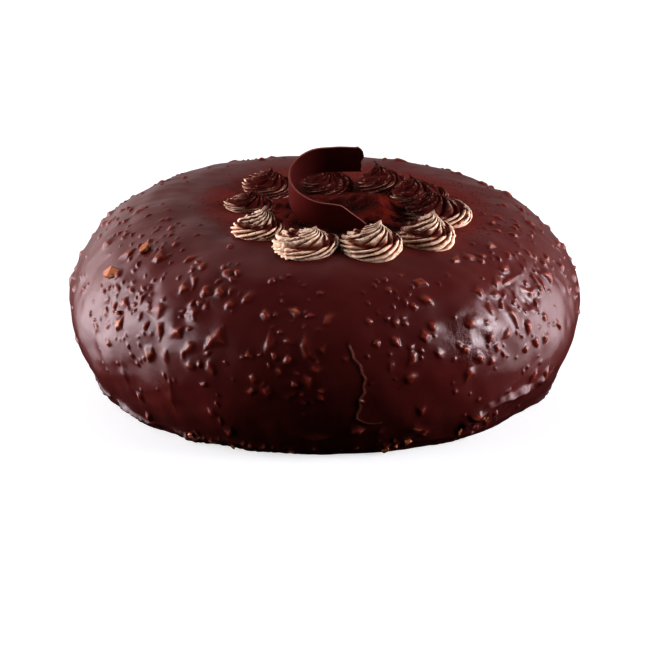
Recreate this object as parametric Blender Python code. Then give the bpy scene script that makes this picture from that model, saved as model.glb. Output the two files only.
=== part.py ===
"""Chocolate hazelnut cake: a round glazed cake with chopped nuts under its glaze, a ring of ten
piped cream rosettes, a mound of cream in the middle and a chocolate curl that stands in it.

Metres, +Z up. The origin is on the cake's axis, at its foot, and -Y is the front.
"""

import math
import random

import bmesh
import bpy
from mathutils import Matrix, Vector

MM = 0.001

# The glazed cake, a tall puffed ring of a shape with a shallow dip in its middle.
FOOT_RADIUS = 93.4 * MM
WIDEST_RADIUS = 104.6 * MM
WIDEST_HEIGHT = 32.6 * MM
CREST_RADIUS = 60.0 * MM
CREST_HEIGHT = 73.2 * MM
MIDDLE_DIP = 3.0 * MM
CREST_SHIFT = 1.25 * MM  # the crest sits this much to the right of the axis
CREST_SLOPE = 1.5 * MM  # and this much lower on the right than in the middle
SIDE_POWER = 1.75  # how round the side is below its widest line
SHOULDER_ACROSS = 1.9  # the shoulder is a superellipse with these two powers
SHOULDER_UP = 1.78
FOOT_WAVE = 1.1 * MM  # how far the ragged lip of glaze wanders at the foot
CAKE_COLUMNS = 64
LOWER_ROWS, SHOULDER_ROWS, TOP_ROWS = 5, 8, 4

# Chopped nuts under the glaze. Up the side, 0 is the foot, 1 the widest line, 2 the crest and 3
# the middle of the top. The largest pieces each have their own place: degrees round the cake, how
# far up the side, length in millimetres, width as a share of it, and the degrees it is turned from
# lying along the side.
LARGEST_NUTS = (
    (210, 1.43, 7.0, 0.80, 30),
    (212, 1.63, 7.5, 0.60, 75),
    (218, 1.31, 6.2, 0.95, 20),
    (229, 1.34, 7.2, 0.85, 10),
    (246, 1.27, 9.0, 0.80, 60),
    (240, 1.18, 6.2, 0.75, 20),
    (234, 1.09, 5.6, 0.70, 120),
    (266, 1.26, 9.6, 0.45, 98),
    (258, 1.28, 9.4, 0.42, 88),
    (258, 0.93, 5.6, 0.85, 60),
    (263, 0.89, 5.8, 0.80, 20),
    (243, 1.65, 5.6, 0.80, 0),
    (251, 1.52, 6.4, 0.60, 60),
    (271, 1.43, 7.0, 0.70, 50),
    (325, 1.37, 9.8, 0.90, 40),
    (311, 1.37, 6.0, 0.75, 80),
    (317, 1.30, 8.4, 0.55, 100),
    (318, 1.50, 6.6, 0.80, 30),
    (302, 0.97, 6.4, 0.80, 45),
    (288, 1.04, 6.2, 0.80, 10),
    (289, 1.18, 5.2, 0.85, 70),
    (341, 1.30, 7.4, 0.45, 95),
    (20, 1.70, 6.4, 0.80, 0),
    (62, 1.89, 6.6, 0.75, 0),
    (110, 1.90, 5.8, 0.80, 30),
    (194, 1.52, 6.4, 0.70, 60),
    (356, 1.40, 5.8, 0.70, 70),
)
# The rest lie in beds: the middle and half width in degrees round the cake, the lowest and
# highest place up the side, and how many.
NUT_BEDS = (
    (224, 16, 1.05, 1.70, 17),
    (240, 9, 1.00, 1.55, 6),
    (262, 8, 0.90, 1.50, 9),
    (289, 7, 1.00, 1.70, 10),
    (316, 12, 1.05, 1.75, 17),
    (335, 12, 1.20, 1.80, 9),
    (190, 22, 1.10, 1.85, 12),
    (10, 26, 1.10, 1.85, 13),
    (60, 26, 0.80, 1.85, 11),
    (110, 26, 0.80, 1.85, 11),
    (155, 20, 0.80, 1.80, 9),
    (225, 35, 0.12, 0.80, 6),
    (305, 35, 0.12, 0.80, 7),
)
NUT_SEED = 7
NUT_LENGTH = (3.6 * MM, 6.4 * MM)
NUT_WIDTH = (0.60, 0.90)  # of the length
NUT_THICK = (0.44, 0.60)  # of the length
NUT_SUNK = 0.16  # share of a nut's thickness that its middle lies below the glaze
NUT_SPACING = 0.58  # of the two nuts' lengths together
NUTS_KEEP_OUT = 4.0 * MM  # bare glaze round the rosettes
PLACE_TRIES = 60

# The ring of piped rosettes. Its centre is nearer the front right than the cake's.
RING_CENTRE = Vector((9.3 * MM, -17.7 * MM))
# For each, in order round the ring from the front: degrees round it, millimetres out from its
# centre, radius, height, and the degrees towards which the tip leans.
ROSETTES = (
    (248.3, 44.9, 12.7, 7.6, 15),
    (281.6, 42.4, 12.1, 10.5, 10),
    (316.0, 42.4, 11.6, 11.0, 40),
    (356.4, 36.3, 13.5, 11.5, 150),
    (37.9, 37.0, 11.8, 10.8, 170),
    (70.3, 43.2, 9.8, 11.6, 200),
    (101.4, 41.8, 10.2, 9.4, 150),
    (133.4, 47.8, 10.6, 9.8, 300),
    (165.6, 41.0, 10.6, 7.6, 300),
    (217.2, 44.3, 10.3, 10.2, 30),
)
# The side of a rosette from its foot to near its tip, as shares of its radius and height.
ROSETTE_SIDE = (
    (0.93, 0.00),
    (1.00, 0.13),
    (0.98, 0.28),
    (0.88, 0.44),
    (0.73, 0.59),
    (0.55, 0.72),
    (0.35, 0.83),
    (0.16, 0.93),
)
FLUTES = 12
FLUTE_DEPTH = 0.075  # of the radius, at the rim
FLUTE_TURN = math.radians(215)  # how far a flute winds from foot to tip
FLUTE_FADE_IN = 0.22  # of the height, over which the flutes deepen from the smooth foot
FLUTE_EASE = 0.85  # under 1 the flutes wind fastest near the foot
UNDERSIDE_RING = 0.5  # of the radius, so that the underside follows the cake's rounded top
TIP_LEAN = 0.30  # of the radius

# The mound of cream inside the ring.
MOUND_CENTRE = Vector((11.0 * MM, -20.0 * MM))
MOUND_SPREAD = 27.0 * MM
MOUND_SKIRT = 2.6 * MM
MOUND_EDGE = 0.7 * MM
# Its humps: millimetres right and back of the ring's centre, height and half width.
MOUND_HUMPS = ((13.0, 4.0, 7.6, 9.5), (-1.0, 10.0, 3.4, 6.0), (1.0, -18.0, 2.6, 5.5))
MOUND_COLUMNS, MOUND_ROWS = 30, 5

# The chocolate curl, a strip bent to a U that opens to the right, with its front edge in the mound.
CURL_RADIUS = 15.2 * MM
CURL_WIDTH = 12.0 * MM
CURL_THICK = 1.2 * MM
CURL_FOOT = Vector((1.2 * MM, -43.0 * MM, 73.6 * MM))  # the middle of its front edge
CURL_TILT = math.radians(20)  # it leans to the front
CURL_RISE = 7.5 * MM  # the back end winds up this much above the front
CURL_FRONT_ARM = 15.0 * MM
CURL_BACK_ARM = 14.0 * MM
CURL_CUT = 0.62  # of the width is lost where the end of the front arm is cut aslant
CURL_CUT_LENGTH = 9.5 * MM
CURL_STEPS = 30

GAP = 0.45 * MM  # between a piece and the cake under it
NEIGHBOUR_GAP = 0.35 * MM

CHOCOLATE = ("chocolate_glaze", (0.055, 0.014, 0.009), 0.22)
CREAM = ("hazelnut_cream", (0.62, 0.44, 0.30), 0.60)
COCOA_CREAM = ("cocoa_dusted_cream", (0.16, 0.065, 0.035), 0.85)
DARK_CHOCOLATE = ("curl_chocolate", (0.035, 0.012, 0.009), 0.38)


def finish(name, colour, roughness):
    """A Principled material of one colour."""
    material = bpy.data.materials.new(name)
    material.use_nodes = True
    shader = material.node_tree.nodes["Principled BSDF"]
    shader.inputs["Base Color"].default_value = (*colour, 1.0)
    shader.inputs["Roughness"].default_value = roughness
    shader.inputs["Metallic"].default_value = 0.0
    return material


def new_piece(name, mesh_tools, look, smooth_deg=35):
    """Turns a bmesh into a named object with its material, shaded smooth between its creases."""
    bmesh.ops.recalc_face_normals(mesh_tools, faces=mesh_tools.faces[:])
    mesh = bpy.data.meshes.new(name)
    mesh_tools.to_mesh(mesh)
    mesh_tools.free()
    mesh.shade_smooth()
    mesh.set_sharp_from_angle(angle=math.radians(smooth_deg))
    piece = bpy.data.objects.new(name, mesh)
    bpy.context.scene.collection.objects.link(piece)
    if look:
        mesh.materials.append(bpy.data.materials.get(look[0]) or finish(*look))
    return piece


def bridge_rows(mesh_tools, rows, lean=0):
    """Joins closed rows of points by triangles. With lean 1 each four-sided gap is split the
    other way, which suits rows that wind round as they climb."""
    for below, above in zip(rows, rows[1:]):
        count = len(below)
        for here in range(count):
            after = (here + 1) % count
            if lean:
                mesh_tools.faces.new((below[here], below[after], above[here]))
                mesh_tools.faces.new((below[after], above[after], above[here]))
            else:
                mesh_tools.faces.new((below[here], below[after], above[after]))
                mesh_tools.faces.new((below[here], above[after], above[here]))


def close_row(mesh_tools, row, point):
    """Closes the end of a shell with a fan of triangles to one point."""
    middle = mesh_tools.verts.new(point)
    for here, corner in enumerate(row):
        mesh_tools.faces.new((corner, row[(here + 1) % len(row)], middle))


# ---- the glazed cake -------------------------------------------------------------------------


def foot_wave(angle):
    """The ragged lip at the foot, as a share of FOOT_WAVE."""
    return 0.5 * math.sin(5 * angle + 0.6) + 0.3 * math.sin(13 * angle) + 0.2 * math.sin(23 * angle)


def skin(angle, up):
    """The point of the glaze at this turn round the cake and this far up its side."""
    crest_radius = CREST_RADIUS + CREST_SHIFT * math.cos(angle)
    crest_height = CREST_HEIGHT - CREST_SLOPE * math.cos(angle)
    if up < 1:
        bulge = 1 - (1 - up) ** SIDE_POWER
        radius = FOOT_RADIUS + (WIDEST_RADIUS - FOOT_RADIUS) * bulge
        radius += FOOT_WAVE * foot_wave(angle) * (1 - up) ** 4
        height = WIDEST_HEIGHT * up
    elif up < 2:
        turn = (up - 1) * math.pi / 2
        across = math.cos(turn) ** (2 / SHOULDER_ACROSS)
        climb = math.sin(turn) ** (2 / SHOULDER_UP)
        radius = crest_radius + (WIDEST_RADIUS - crest_radius) * across
        height = WIDEST_HEIGHT + (crest_height - WIDEST_HEIGHT) * climb
    else:
        radius = crest_radius * (3 - up)
        height = top_height(radius * math.cos(angle), radius * math.sin(angle))
    return Vector((radius * math.cos(angle), radius * math.sin(angle), height))


def top_height(x, y):
    """The height of the glaze at a place on top of the cake, out to its shoulder."""
    radius = math.hypot(x, y)
    beside = x / radius if radius else 0.0
    crest_radius = CREST_RADIUS + CREST_SHIFT * beside
    slope = CREST_SLOPE * beside * min(radius / crest_radius, 1.0)
    if radius <= crest_radius:
        inward = 1 - radius / crest_radius
        return CREST_HEIGHT - slope - MIDDLE_DIP * (1 - math.cos(math.pi * inward)) / 2
    across = (radius - crest_radius) / (WIDEST_RADIUS - crest_radius)
    turn = math.acos(min(across, 1.0) ** (SHOULDER_ACROSS / 2))
    climb = math.sin(turn) ** (2 / SHOULDER_UP)
    return WIDEST_HEIGHT + (CREST_HEIGHT - slope - WIDEST_HEIGHT) * climb


def skin_normal(angle, up):
    """The way out of the glaze at that place."""
    step = 0.01
    along = skin(angle + step, up) - skin(angle - step, up)
    rise = skin(angle, up + step) - skin(angle, up - step)
    return along.cross(rise).normalized()


def rosette_centre(rosette):
    turn, out = math.radians(rosette[0]), rosette[1] * MM
    return RING_CENTRE + Vector((out * math.cos(turn), out * math.sin(turn)))


def in_the_open(point):
    """Whether a nut here stays clear of the ring of rosettes and what is inside it."""
    place = point.to_2d()
    if (place - RING_CENTRE).length < ROSETTES[0][1] * MM and point.z > WIDEST_HEIGHT:
        return False
    return all(
        (place - rosette_centre(rosette)).length > rosette[2] * MM + NUTS_KEEP_OUT
        for rosette in ROSETTES
    )


def nut_places():
    """For each nut its turn round the cake, how far up the side, length, width, thickness and
    spin."""
    draw = random.Random(NUT_SEED)
    places = []
    for degrees, up, length, width, spin in LARGEST_NUTS:
        length *= MM
        thick = draw.uniform(*NUT_THICK)
        angle, spin = math.radians(degrees), math.radians(spin)
        places.append((angle, up, length, length * width, length * thick * width, spin))
    for middle, half, low, high, count in NUT_BEDS:
        for _ in range(count):
            for _ in range(PLACE_TRIES):
                angle = math.radians(draw.uniform(middle - half, middle + half))
                up = draw.uniform(low, high)
                length = draw.uniform(*NUT_LENGTH)
                point = skin(angle, up)
                apart = all(
                    (point - skin(other[0], other[1])).length > NUT_SPACING * (length + other[2])
                    for other in places
                )
                if apart and in_the_open(point):
                    width, thick = draw.uniform(*NUT_WIDTH), draw.uniform(*NUT_THICK)
                    spin = draw.uniform(0, math.tau)
                    places.append((angle, up, length, length * width, length * thick, spin))
                    break
    return places


def nut_lump(number, angle, up, length, width, thick, spin):
    """One chopped nut: a small uneven lump that lies along the glaze, partly sunk in it."""
    shape = bmesh.new()
    bmesh.ops.create_icosphere(shape, subdivisions=1, radius=0.5)
    draw = random.Random(NUT_SEED + 1000 + number)
    for corner in shape.verts:
        corner.co *= draw.uniform(0.88, 1.12)
    out = skin_normal(angle, up)
    round_the_cake = Vector((-math.sin(angle), math.cos(angle), 0.0))
    lying = Matrix((round_the_cake, out.cross(round_the_cake), out)).transposed().to_4x4()
    scale = Matrix.Diagonal((length, width, thick, 1.0))
    place = Matrix.Translation(skin(angle, up) - out * (thick * NUT_SUNK))
    shape.transform(place @ lying @ Matrix.Rotation(spin, 4, "Z") @ scale)
    return new_piece(f"nut_{number}", shape, None)


def glazed_cake():
    """The body turned as rows of points from the foot to the middle of the top, with the nuts
    joined on by one union."""
    shape = bmesh.new()
    ups = [row / LOWER_ROWS for row in range(LOWER_ROWS)]
    ups += [1 + row / SHOULDER_ROWS for row in range(SHOULDER_ROWS)]
    ups += [2 + row / TOP_ROWS for row in range(TOP_ROWS)]
    angles = [math.tau * column / CAKE_COLUMNS for column in range(CAKE_COLUMNS)]
    rows = [[shape.verts.new(skin(angle, up)) for angle in angles] for up in ups]
    bridge_rows(shape, rows)
    close_row(shape, rows[-1], (0, 0, top_height(0, 0)))
    shape.faces.new(rows[0])
    cake = new_piece("cake_body", shape, CHOCOLATE, smooth_deg=40)

    nuts = bpy.data.collections.new("chopped_nuts")
    bpy.context.scene.collection.children.link(nuts)
    for number, place in enumerate(nut_places()):
        lump = nut_lump(number, *place)
        bpy.context.scene.collection.objects.unlink(lump)
        nuts.objects.link(lump)
    union = cake.modifiers.new("nuts_joined_on", "BOOLEAN")
    union.operation = "UNION"
    union.operand_type = "COLLECTION"
    union.collection = nuts
    union.solver = "EXACT"
    apply_modifiers(cake)
    for lump in list(nuts.objects):
        bpy.data.objects.remove(lump)
    bpy.data.collections.remove(nuts)
    return cake


def apply_modifiers(piece):
    """Replaces the piece's mesh by what its modifiers make of it."""
    graph = bpy.context.evaluated_depsgraph_get()
    made = bpy.data.meshes.new_from_object(piece.evaluated_get(graph))
    piece.modifiers.clear()
    piece.data = made


# ---- the cream -------------------------------------------------------------------------------


def piped_rosette(number, rosette):
    """A star-tipped swirl: a dome whose flutes wind up to a tip that leans to one side."""
    radius, height = rosette[2] * MM, rosette[3] * MM
    lean = math.radians(rosette[4])
    centre = rosette_centre(rosette)
    ground = top_height(*centre) + GAP

    def side_row(across, up, bottom):
        """One row of points, alternately on a ridge and in a flute."""
        row = []
        turn = FLUTE_TURN * up ** FLUTE_EASE
        shift = TIP_LEAN * radius * up ** 2
        for column in range(2 * FLUTES):
            angle = math.tau * column / (2 * FLUTES) + turn
            in_a_flute = column % 2
            depth = FLUTE_DEPTH * min(1.0, up / FLUTE_FADE_IN) * math.sqrt(across)
            reach = radius * across * (1 - 2 * depth * in_a_flute)
            x = reach * math.cos(angle) + shift * math.cos(lean)
            y = reach * math.sin(angle) + shift * math.sin(lean)
            under = top_height(centre.x + x, centre.y + y) + GAP - ground
            z = under if bottom else under * (1 - up) + height * up
            row.append(shape.verts.new((x, y, z)))
        return row

    shape = bmesh.new()
    inner_foot = side_row(UNDERSIDE_RING, 0.0, bottom=True)
    rows = [inner_foot]
    rows += [side_row(across, up, bottom=(up == 0)) for across, up in ROSETTE_SIDE]
    bridge_rows(shape, rows, lean=1)
    close_row(shape, inner_foot, (0, 0, 0))
    tip = (TIP_LEAN * radius * math.cos(lean), TIP_LEAN * radius * math.sin(lean), height)
    close_row(shape, rows[-1], tip)
    piece = new_piece(f"cream_rosette_{number:02d}", shape, CREAM, smooth_deg=50)
    piece.location = (centre.x, centre.y, ground)
    return piece


def mound_reach(angle):
    """How far the cream spreads that way before it would meet a rosette."""
    way = Vector((math.cos(angle), math.sin(angle)))
    furthest = MOUND_SPREAD
    for rosette in ROSETTES:
        to_rosette = rosette_centre(rosette) - MOUND_CENTRE
        along = to_rosette.dot(way)
        aside = to_rosette.length_squared - along ** 2
        half_chord = (rosette[2] * MM + NEIGHBOUR_GAP) ** 2 - aside
        if along > 0 and half_chord > 0:
            furthest = min(furthest, along - math.sqrt(half_chord))
    return furthest


def mound_height(place, share):
    """The thickness of the cream at a place, share of the way out to its edge."""
    thick = MOUND_EDGE + MOUND_SKIRT * (1 - share ** 3)
    for right, back, height, half_width in MOUND_HUMPS:
        hump = RING_CENTRE + Vector((right, back)) * MM
        apart = (place - hump).length / (half_width * MM)
        thick += height * MM * math.exp(-(apart ** 2)) * (1 - share ** 3)
    return thick


def cream_mound(curl_slot):
    """A low uneven heap that fills the ring, with a slot where the curl's edge goes in."""
    shape = bmesh.new()
    ground = top_height(*MOUND_CENTRE) + GAP

    def heap_row(share, on_top):
        row = []
        for column in range(MOUND_COLUMNS):
            angle = math.tau * column / MOUND_COLUMNS
            way = Vector((math.cos(angle), math.sin(angle)))
            place = MOUND_CENTRE + way * (mound_reach(angle) * share)
            z = top_height(*place) + GAP - ground
            if on_top:
                z += mound_height(place, share)
            row.append(shape.verts.new((*(place - MOUND_CENTRE), z)))
        return row

    shares = [(row + 1) / MOUND_ROWS for row in range(MOUND_ROWS)]
    under = heap_row(0.5, on_top=False)
    rows = [under, heap_row(1.0, on_top=False)]
    rows += [heap_row(share, on_top=True) for share in reversed(shares)]
    bridge_rows(shape, rows)
    close_row(shape, under, (0, 0, 0))
    close_row(shape, rows[-1], (0, 0, mound_height(MOUND_CENTRE, 0)))
    piece = new_piece("cream_mound", shape, COCOA_CREAM)
    piece.location = (MOUND_CENTRE.x, MOUND_CENTRE.y, ground)
    slot = piece.modifiers.new("slot_for_the_curl", "BOOLEAN")
    slot.operation = "DIFFERENCE"
    slot.object = curl_slot
    return piece


# ---- the chocolate curl ----------------------------------------------------------------------


def curl_path(share):
    """The strip's middle line in plan, from its front arm round the left to its back arm: the
    point, the way along, and how far along it is."""
    bend = math.pi * CURL_RADIUS
    along = share * (CURL_FRONT_ARM + bend + CURL_BACK_ARM)
    if along < CURL_FRONT_ARM:
        return Vector((CURL_FRONT_ARM - along, -CURL_RADIUS)), Vector((-1, 0)), along
    if along > CURL_FRONT_ARM + bend:
        beyond = along - CURL_FRONT_ARM - bend
        return Vector((beyond, CURL_RADIUS)), Vector((1, 0)), along
    angle = -math.pi / 2 - (along - CURL_FRONT_ARM) / CURL_RADIUS
    point = Vector((math.cos(angle), math.sin(angle))) * CURL_RADIUS
    return point, Vector((math.sin(angle), -math.cos(angle))), along


def curl_strip(name, thick, deeper, look):
    """The strip swept along its path: it rises as it goes, and its front arm is cut aslant."""
    shape = bmesh.new()
    sections = []
    total = CURL_FRONT_ARM + math.pi * CURL_RADIUS + CURL_BACK_ARM
    for step in range(CURL_STEPS + 1):
        point, way, along = curl_path(step / CURL_STEPS)
        aside = Vector((way.y, -way.x)) * (thick / 2)
        rise = CURL_RISE * math.sin(math.pi / 2 * along / total)
        left_of_cut = max(0.0, 1 - along / CURL_CUT_LENGTH)
        width = CURL_WIDTH * (1 - CURL_CUT * left_of_cut)
        section = []
        for offset, z in ((-1, -deeper), (1, -deeper), (1, width), (-1, width)):
            place = point + aside * offset
            section.append(shape.verts.new((place.x, place.y, rise + z)))
        sections.append(section)
    bridge_rows(shape, sections)
    shape.faces.new(sections[0])
    shape.faces.new(reversed(sections[-1]))
    piece = new_piece(name, shape, look)
    drop = Vector((0, -CURL_RADIUS * math.cos(CURL_TILT), -CURL_RADIUS * math.sin(CURL_TILT)))
    piece.location = CURL_FOOT - drop
    piece.rotation_euler = (CURL_TILT, 0, 0)
    return piece


def main():
    for leftover in list(bpy.data.objects):
        bpy.data.objects.remove(leftover)
    whole = bpy.data.objects.new("chocolate_hazelnut_cake", None)
    bpy.context.scene.collection.objects.link(whole)

    pieces = [glazed_cake()]
    pieces += [piped_rosette(number + 1, rosette) for number, rosette in enumerate(ROSETTES)]
    slot = curl_strip("curl_slot", CURL_THICK + 2 * NEIGHBOUR_GAP, NEIGHBOUR_GAP, None)
    slot.hide_render = True
    slot.display_type = "WIRE"
    pieces += [slot, cream_mound(slot)]
    pieces.append(curl_strip("chocolate_curl", CURL_THICK, 0.0, DARK_CHOCOLATE))
    for piece in pieces:
        piece.parent = whole


main()
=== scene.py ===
"""Looks of the chocolate hazelnut cake: its glaze over chopped nuts, the piped cream, the cocoa
dust and the chocolate curl.

Lengths are in metres, +Z is up and -Y is the front. Each piece has the size and the place of the
CAD solid that it stands for.
"""

import math
import random
from collections import namedtuple

import bpy
import numpy as np
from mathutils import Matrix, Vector
from mathutils.bvhtree import BVHTree


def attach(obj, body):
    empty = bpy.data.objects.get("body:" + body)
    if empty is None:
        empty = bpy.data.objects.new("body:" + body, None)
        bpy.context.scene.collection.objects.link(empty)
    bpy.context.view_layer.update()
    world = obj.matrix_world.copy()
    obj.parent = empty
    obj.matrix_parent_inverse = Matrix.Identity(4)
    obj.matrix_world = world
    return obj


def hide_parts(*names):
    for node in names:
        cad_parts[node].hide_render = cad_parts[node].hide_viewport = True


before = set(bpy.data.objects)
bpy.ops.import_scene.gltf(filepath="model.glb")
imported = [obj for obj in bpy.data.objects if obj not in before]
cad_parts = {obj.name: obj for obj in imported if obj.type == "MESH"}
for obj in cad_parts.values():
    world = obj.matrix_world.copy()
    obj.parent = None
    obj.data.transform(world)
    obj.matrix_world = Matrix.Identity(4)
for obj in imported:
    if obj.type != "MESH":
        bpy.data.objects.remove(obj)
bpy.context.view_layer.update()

MM = 0.001

# The glazed cake: the same sizes as the solid's.
FOOT_RADIUS = 93.4 * MM
WIDEST_RADIUS = 104.6 * MM
WIDEST_HEIGHT = 32.6 * MM
CREST_RADIUS = 60.0 * MM
CREST_HEIGHT = 73.2 * MM
MIDDLE_DIP = 3.0 * MM
CREST_SHIFT = 1.25 * MM
CREST_SLOPE = 1.5 * MM
SIDE_POWER = 1.75
SHOULDER_ACROSS = 1.9
SHOULDER_UP = 1.78
FOOT_WAVE = 1.1 * MM
GLAZE_COLUMNS = 320
LOWER_ROWS, SHOULDER_ROWS, TOP_ROWS = 17, 33, 22

# Chopped nuts, as in the solid: degrees round the cake, how far up the side (1 is the widest line
# and 2 the crest), length in millimetres, width as a share of it and the degrees it is turned.
LARGEST_NUTS = (
    (210, 1.43, 7.0, 0.80, 30),
    (212, 1.63, 7.5, 0.60, 75),
    (218, 1.31, 6.2, 0.95, 20),
    (229, 1.34, 7.2, 0.85, 10),
    (246, 1.27, 9.0, 0.80, 60),
    (240, 1.18, 6.2, 0.75, 20),
    (234, 1.09, 5.6, 0.70, 120),
    (266, 1.26, 9.6, 0.45, 98),
    (258, 1.28, 9.4, 0.42, 88),
    (258, 0.93, 5.6, 0.85, 60),
    (263, 0.89, 5.8, 0.80, 20),
    (243, 1.65, 5.6, 0.80, 0),
    (251, 1.52, 6.4, 0.60, 60),
    (271, 1.43, 7.0, 0.70, 50),
    (325, 1.37, 9.8, 0.90, 40),
    (311, 1.37, 6.0, 0.75, 80),
    (317, 1.30, 8.4, 0.55, 100),
    (318, 1.50, 6.6, 0.80, 30),
    (302, 0.97, 6.4, 0.80, 45),
    (288, 1.04, 6.2, 0.80, 10),
    (289, 1.18, 5.2, 0.85, 70),
    (341, 1.30, 7.4, 0.45, 95),
    (20, 1.70, 6.4, 0.80, 0),
    (62, 1.89, 6.6, 0.75, 0),
    (110, 1.90, 5.8, 0.80, 30),
    (194, 1.52, 6.4, 0.70, 60),
    (356, 1.40, 5.8, 0.70, 70),
)
# Beds of nuts: middle and half width in degrees round the cake, lowest and highest place up the
# side, and how many.
NUT_BEDS = (
    (224, 16, 1.05, 1.70, 17),
    (240, 9, 1.00, 1.55, 6),
    (262, 8, 0.90, 1.50, 9),
    (289, 7, 1.00, 1.70, 10),
    (316, 12, 1.05, 1.75, 17),
    (335, 12, 1.20, 1.80, 9),
    (190, 22, 1.10, 1.85, 12),
    (10, 26, 1.10, 1.85, 13),
    (60, 26, 0.80, 1.85, 11),
    (110, 26, 0.80, 1.85, 11),
    (155, 20, 0.80, 1.80, 9),
    (225, 35, 0.12, 0.80, 6),
    (305, 35, 0.12, 0.80, 7),
)
Nut = namedtuple("Nut", "angle up length width thick spin")
NUT_SEED = 7
NUT_LENGTH = (3.6 * MM, 6.4 * MM)
NUT_WIDTH = (0.60, 0.90)  # of its length
NUT_THICK = (0.44, 0.60)  # of its length
NUT_SHOWS = 0.37  # share of a nut's thickness that stands out of the glaze
NUT_SPACING = 0.58  # of both nuts' lengths together, from middle to middle
NUTS_KEEP_OUT = 4.0 * MM  # no nut lies nearer to a rosette than this
PLACE_TRIES = 60

# Crumbs of nut between them, too small for the solid: where, as for the beds.
CRUMB_BEDS = (
    (222, 17, 1.02, 1.62, 95),
    (205, 22, 1.50, 1.92, 50),
    (243, 10, 1.00, 1.72, 34),
    (262, 9, 0.86, 1.60, 42),
    (289, 9, 0.98, 1.74, 36),
    (315, 13, 1.02, 1.62, 66),
    (340, 16, 1.35, 1.90, 60),
    (185, 16, 1.15, 1.70, 34),
    (5, 24, 1.15, 1.90, 48),
    (60, 30, 0.80, 1.90, 80),
    (115, 26, 0.80, 1.90, 80),
    (155, 18, 0.80, 1.85, 50),
    (225, 36, 0.10, 0.95, 9),
    (308, 30, 0.10, 0.95, 20),
    (262, 30, 1.45, 1.85, 16),
    (240, 6, 0.03, 0.16, 12),
    (258, 10, 0.02, 0.12, 14),
    (286, 7, 0.03, 0.20, 16),
    (307, 6, 0.06, 0.36, 34),
)
CRUMB_SEED = 21
CRUMB_LENGTH = (1.3 * MM, 3.7 * MM)
CRUMB_WIDTH = (0.45, 0.90)
CRUMB_THICK = (0.55, 0.95)
CRUMB_SPACING = 0.37
CRUMB_SPREAD = 0.6  # of a bed's half width and half height; most lie within this of its middle
CRUMB_SMALLNESS = 1.6  # above 1, there are more small crumbs than large ones
CRUMB_UPS = (0.08, 1.97)

# Rolls of glaze that ran and set, too low for the solid: degrees round the cake, how far up the
# side, length, width and rise in millimetres, and the degrees it is turned.
GLAZE_ROLLS = (
    (268, 0.30, 11.0, 3.4, 0.5, 2),
    (291, 0.33, 9.0, 3.2, 0.6, -5),
    (322, 1.49, 12.0, 1.6, 0.6, 4),
    (332, 1.36, 8.0, 2.0, 0.9, 80),
    (235, 0.62, 13.0, 2.6, 0.25, 88),
    (221, 0.72, 12.0, 2.4, 0.25, 92),
)
# The crack in the glaze at the front, from its top down: degrees round the cake and how far up.
CRACK = (
    (275.2, 1.27),
    (275.9, 1.23),
    (276.2, 1.19),
    (277.5, 1.15),
    (277.8, 1.10),
    (278.5, 1.06),
    (278.0, 1.00),
    (278.3, 0.92),
    (277.3, 0.83),
    (277.5, 0.71),
    (276.8, 0.62),
    (276.9, 0.56),
    (278.4, 0.50),
    (279.4, 0.48),
    (280.6, 0.47),
    (282.3, 0.475),
)
CRACK_STEP = (-0.25 * MM, 0.20 * MM)  # how far the glaze stands out on its left and its right
CRACK_STEP_REACH = 2.5 * MM
CRACK_EDGE = 0.32 * MM  # the half width of its raised edge
CRACK_EDGE_RISE = 0.26 * MM
# Lips of glaze that rolled up over the foot, as places along each, then how far each stands out
# and its half width in millimetres.
LIPS = (
    (((303, 0.24), (306, 0.36), (309, 0.43), (313, 0.46), (318, 0.45), (323, 0.48), (330, 0.45),
      (338, 0.43)), 1.5, 1.9),
    (((199, 0.40), (202, 0.27), (206, 0.18), (212, 0.16), (218, 0.12), (225, 0.08), (233, 0.06),
      (240, 0.05)), 0.9, 0.9),
)
# Dents in the glaze: degrees round the cake, how far up, half width and depth in millimetres.
DENTS = (
    (324.8, 1.360, 5.0, 2.9),
    (320.5, 1.430, 2.6, 0.8),
    (299.0, 1.320, 4.0, 0.6),
    (306.0, 1.220, 3.6, 0.6),
    (311.0, 1.120, 3.2, 0.6),
    (228.0, 1.330, 3.6, 0.7),
    (219.0, 1.220, 3.2, 0.6),
    (236.0, 1.360, 3.4, 0.6),
    (224.0, 1.460, 3.0, 0.6),
    (262.0, 1.100, 3.4, 0.4),
)
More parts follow.
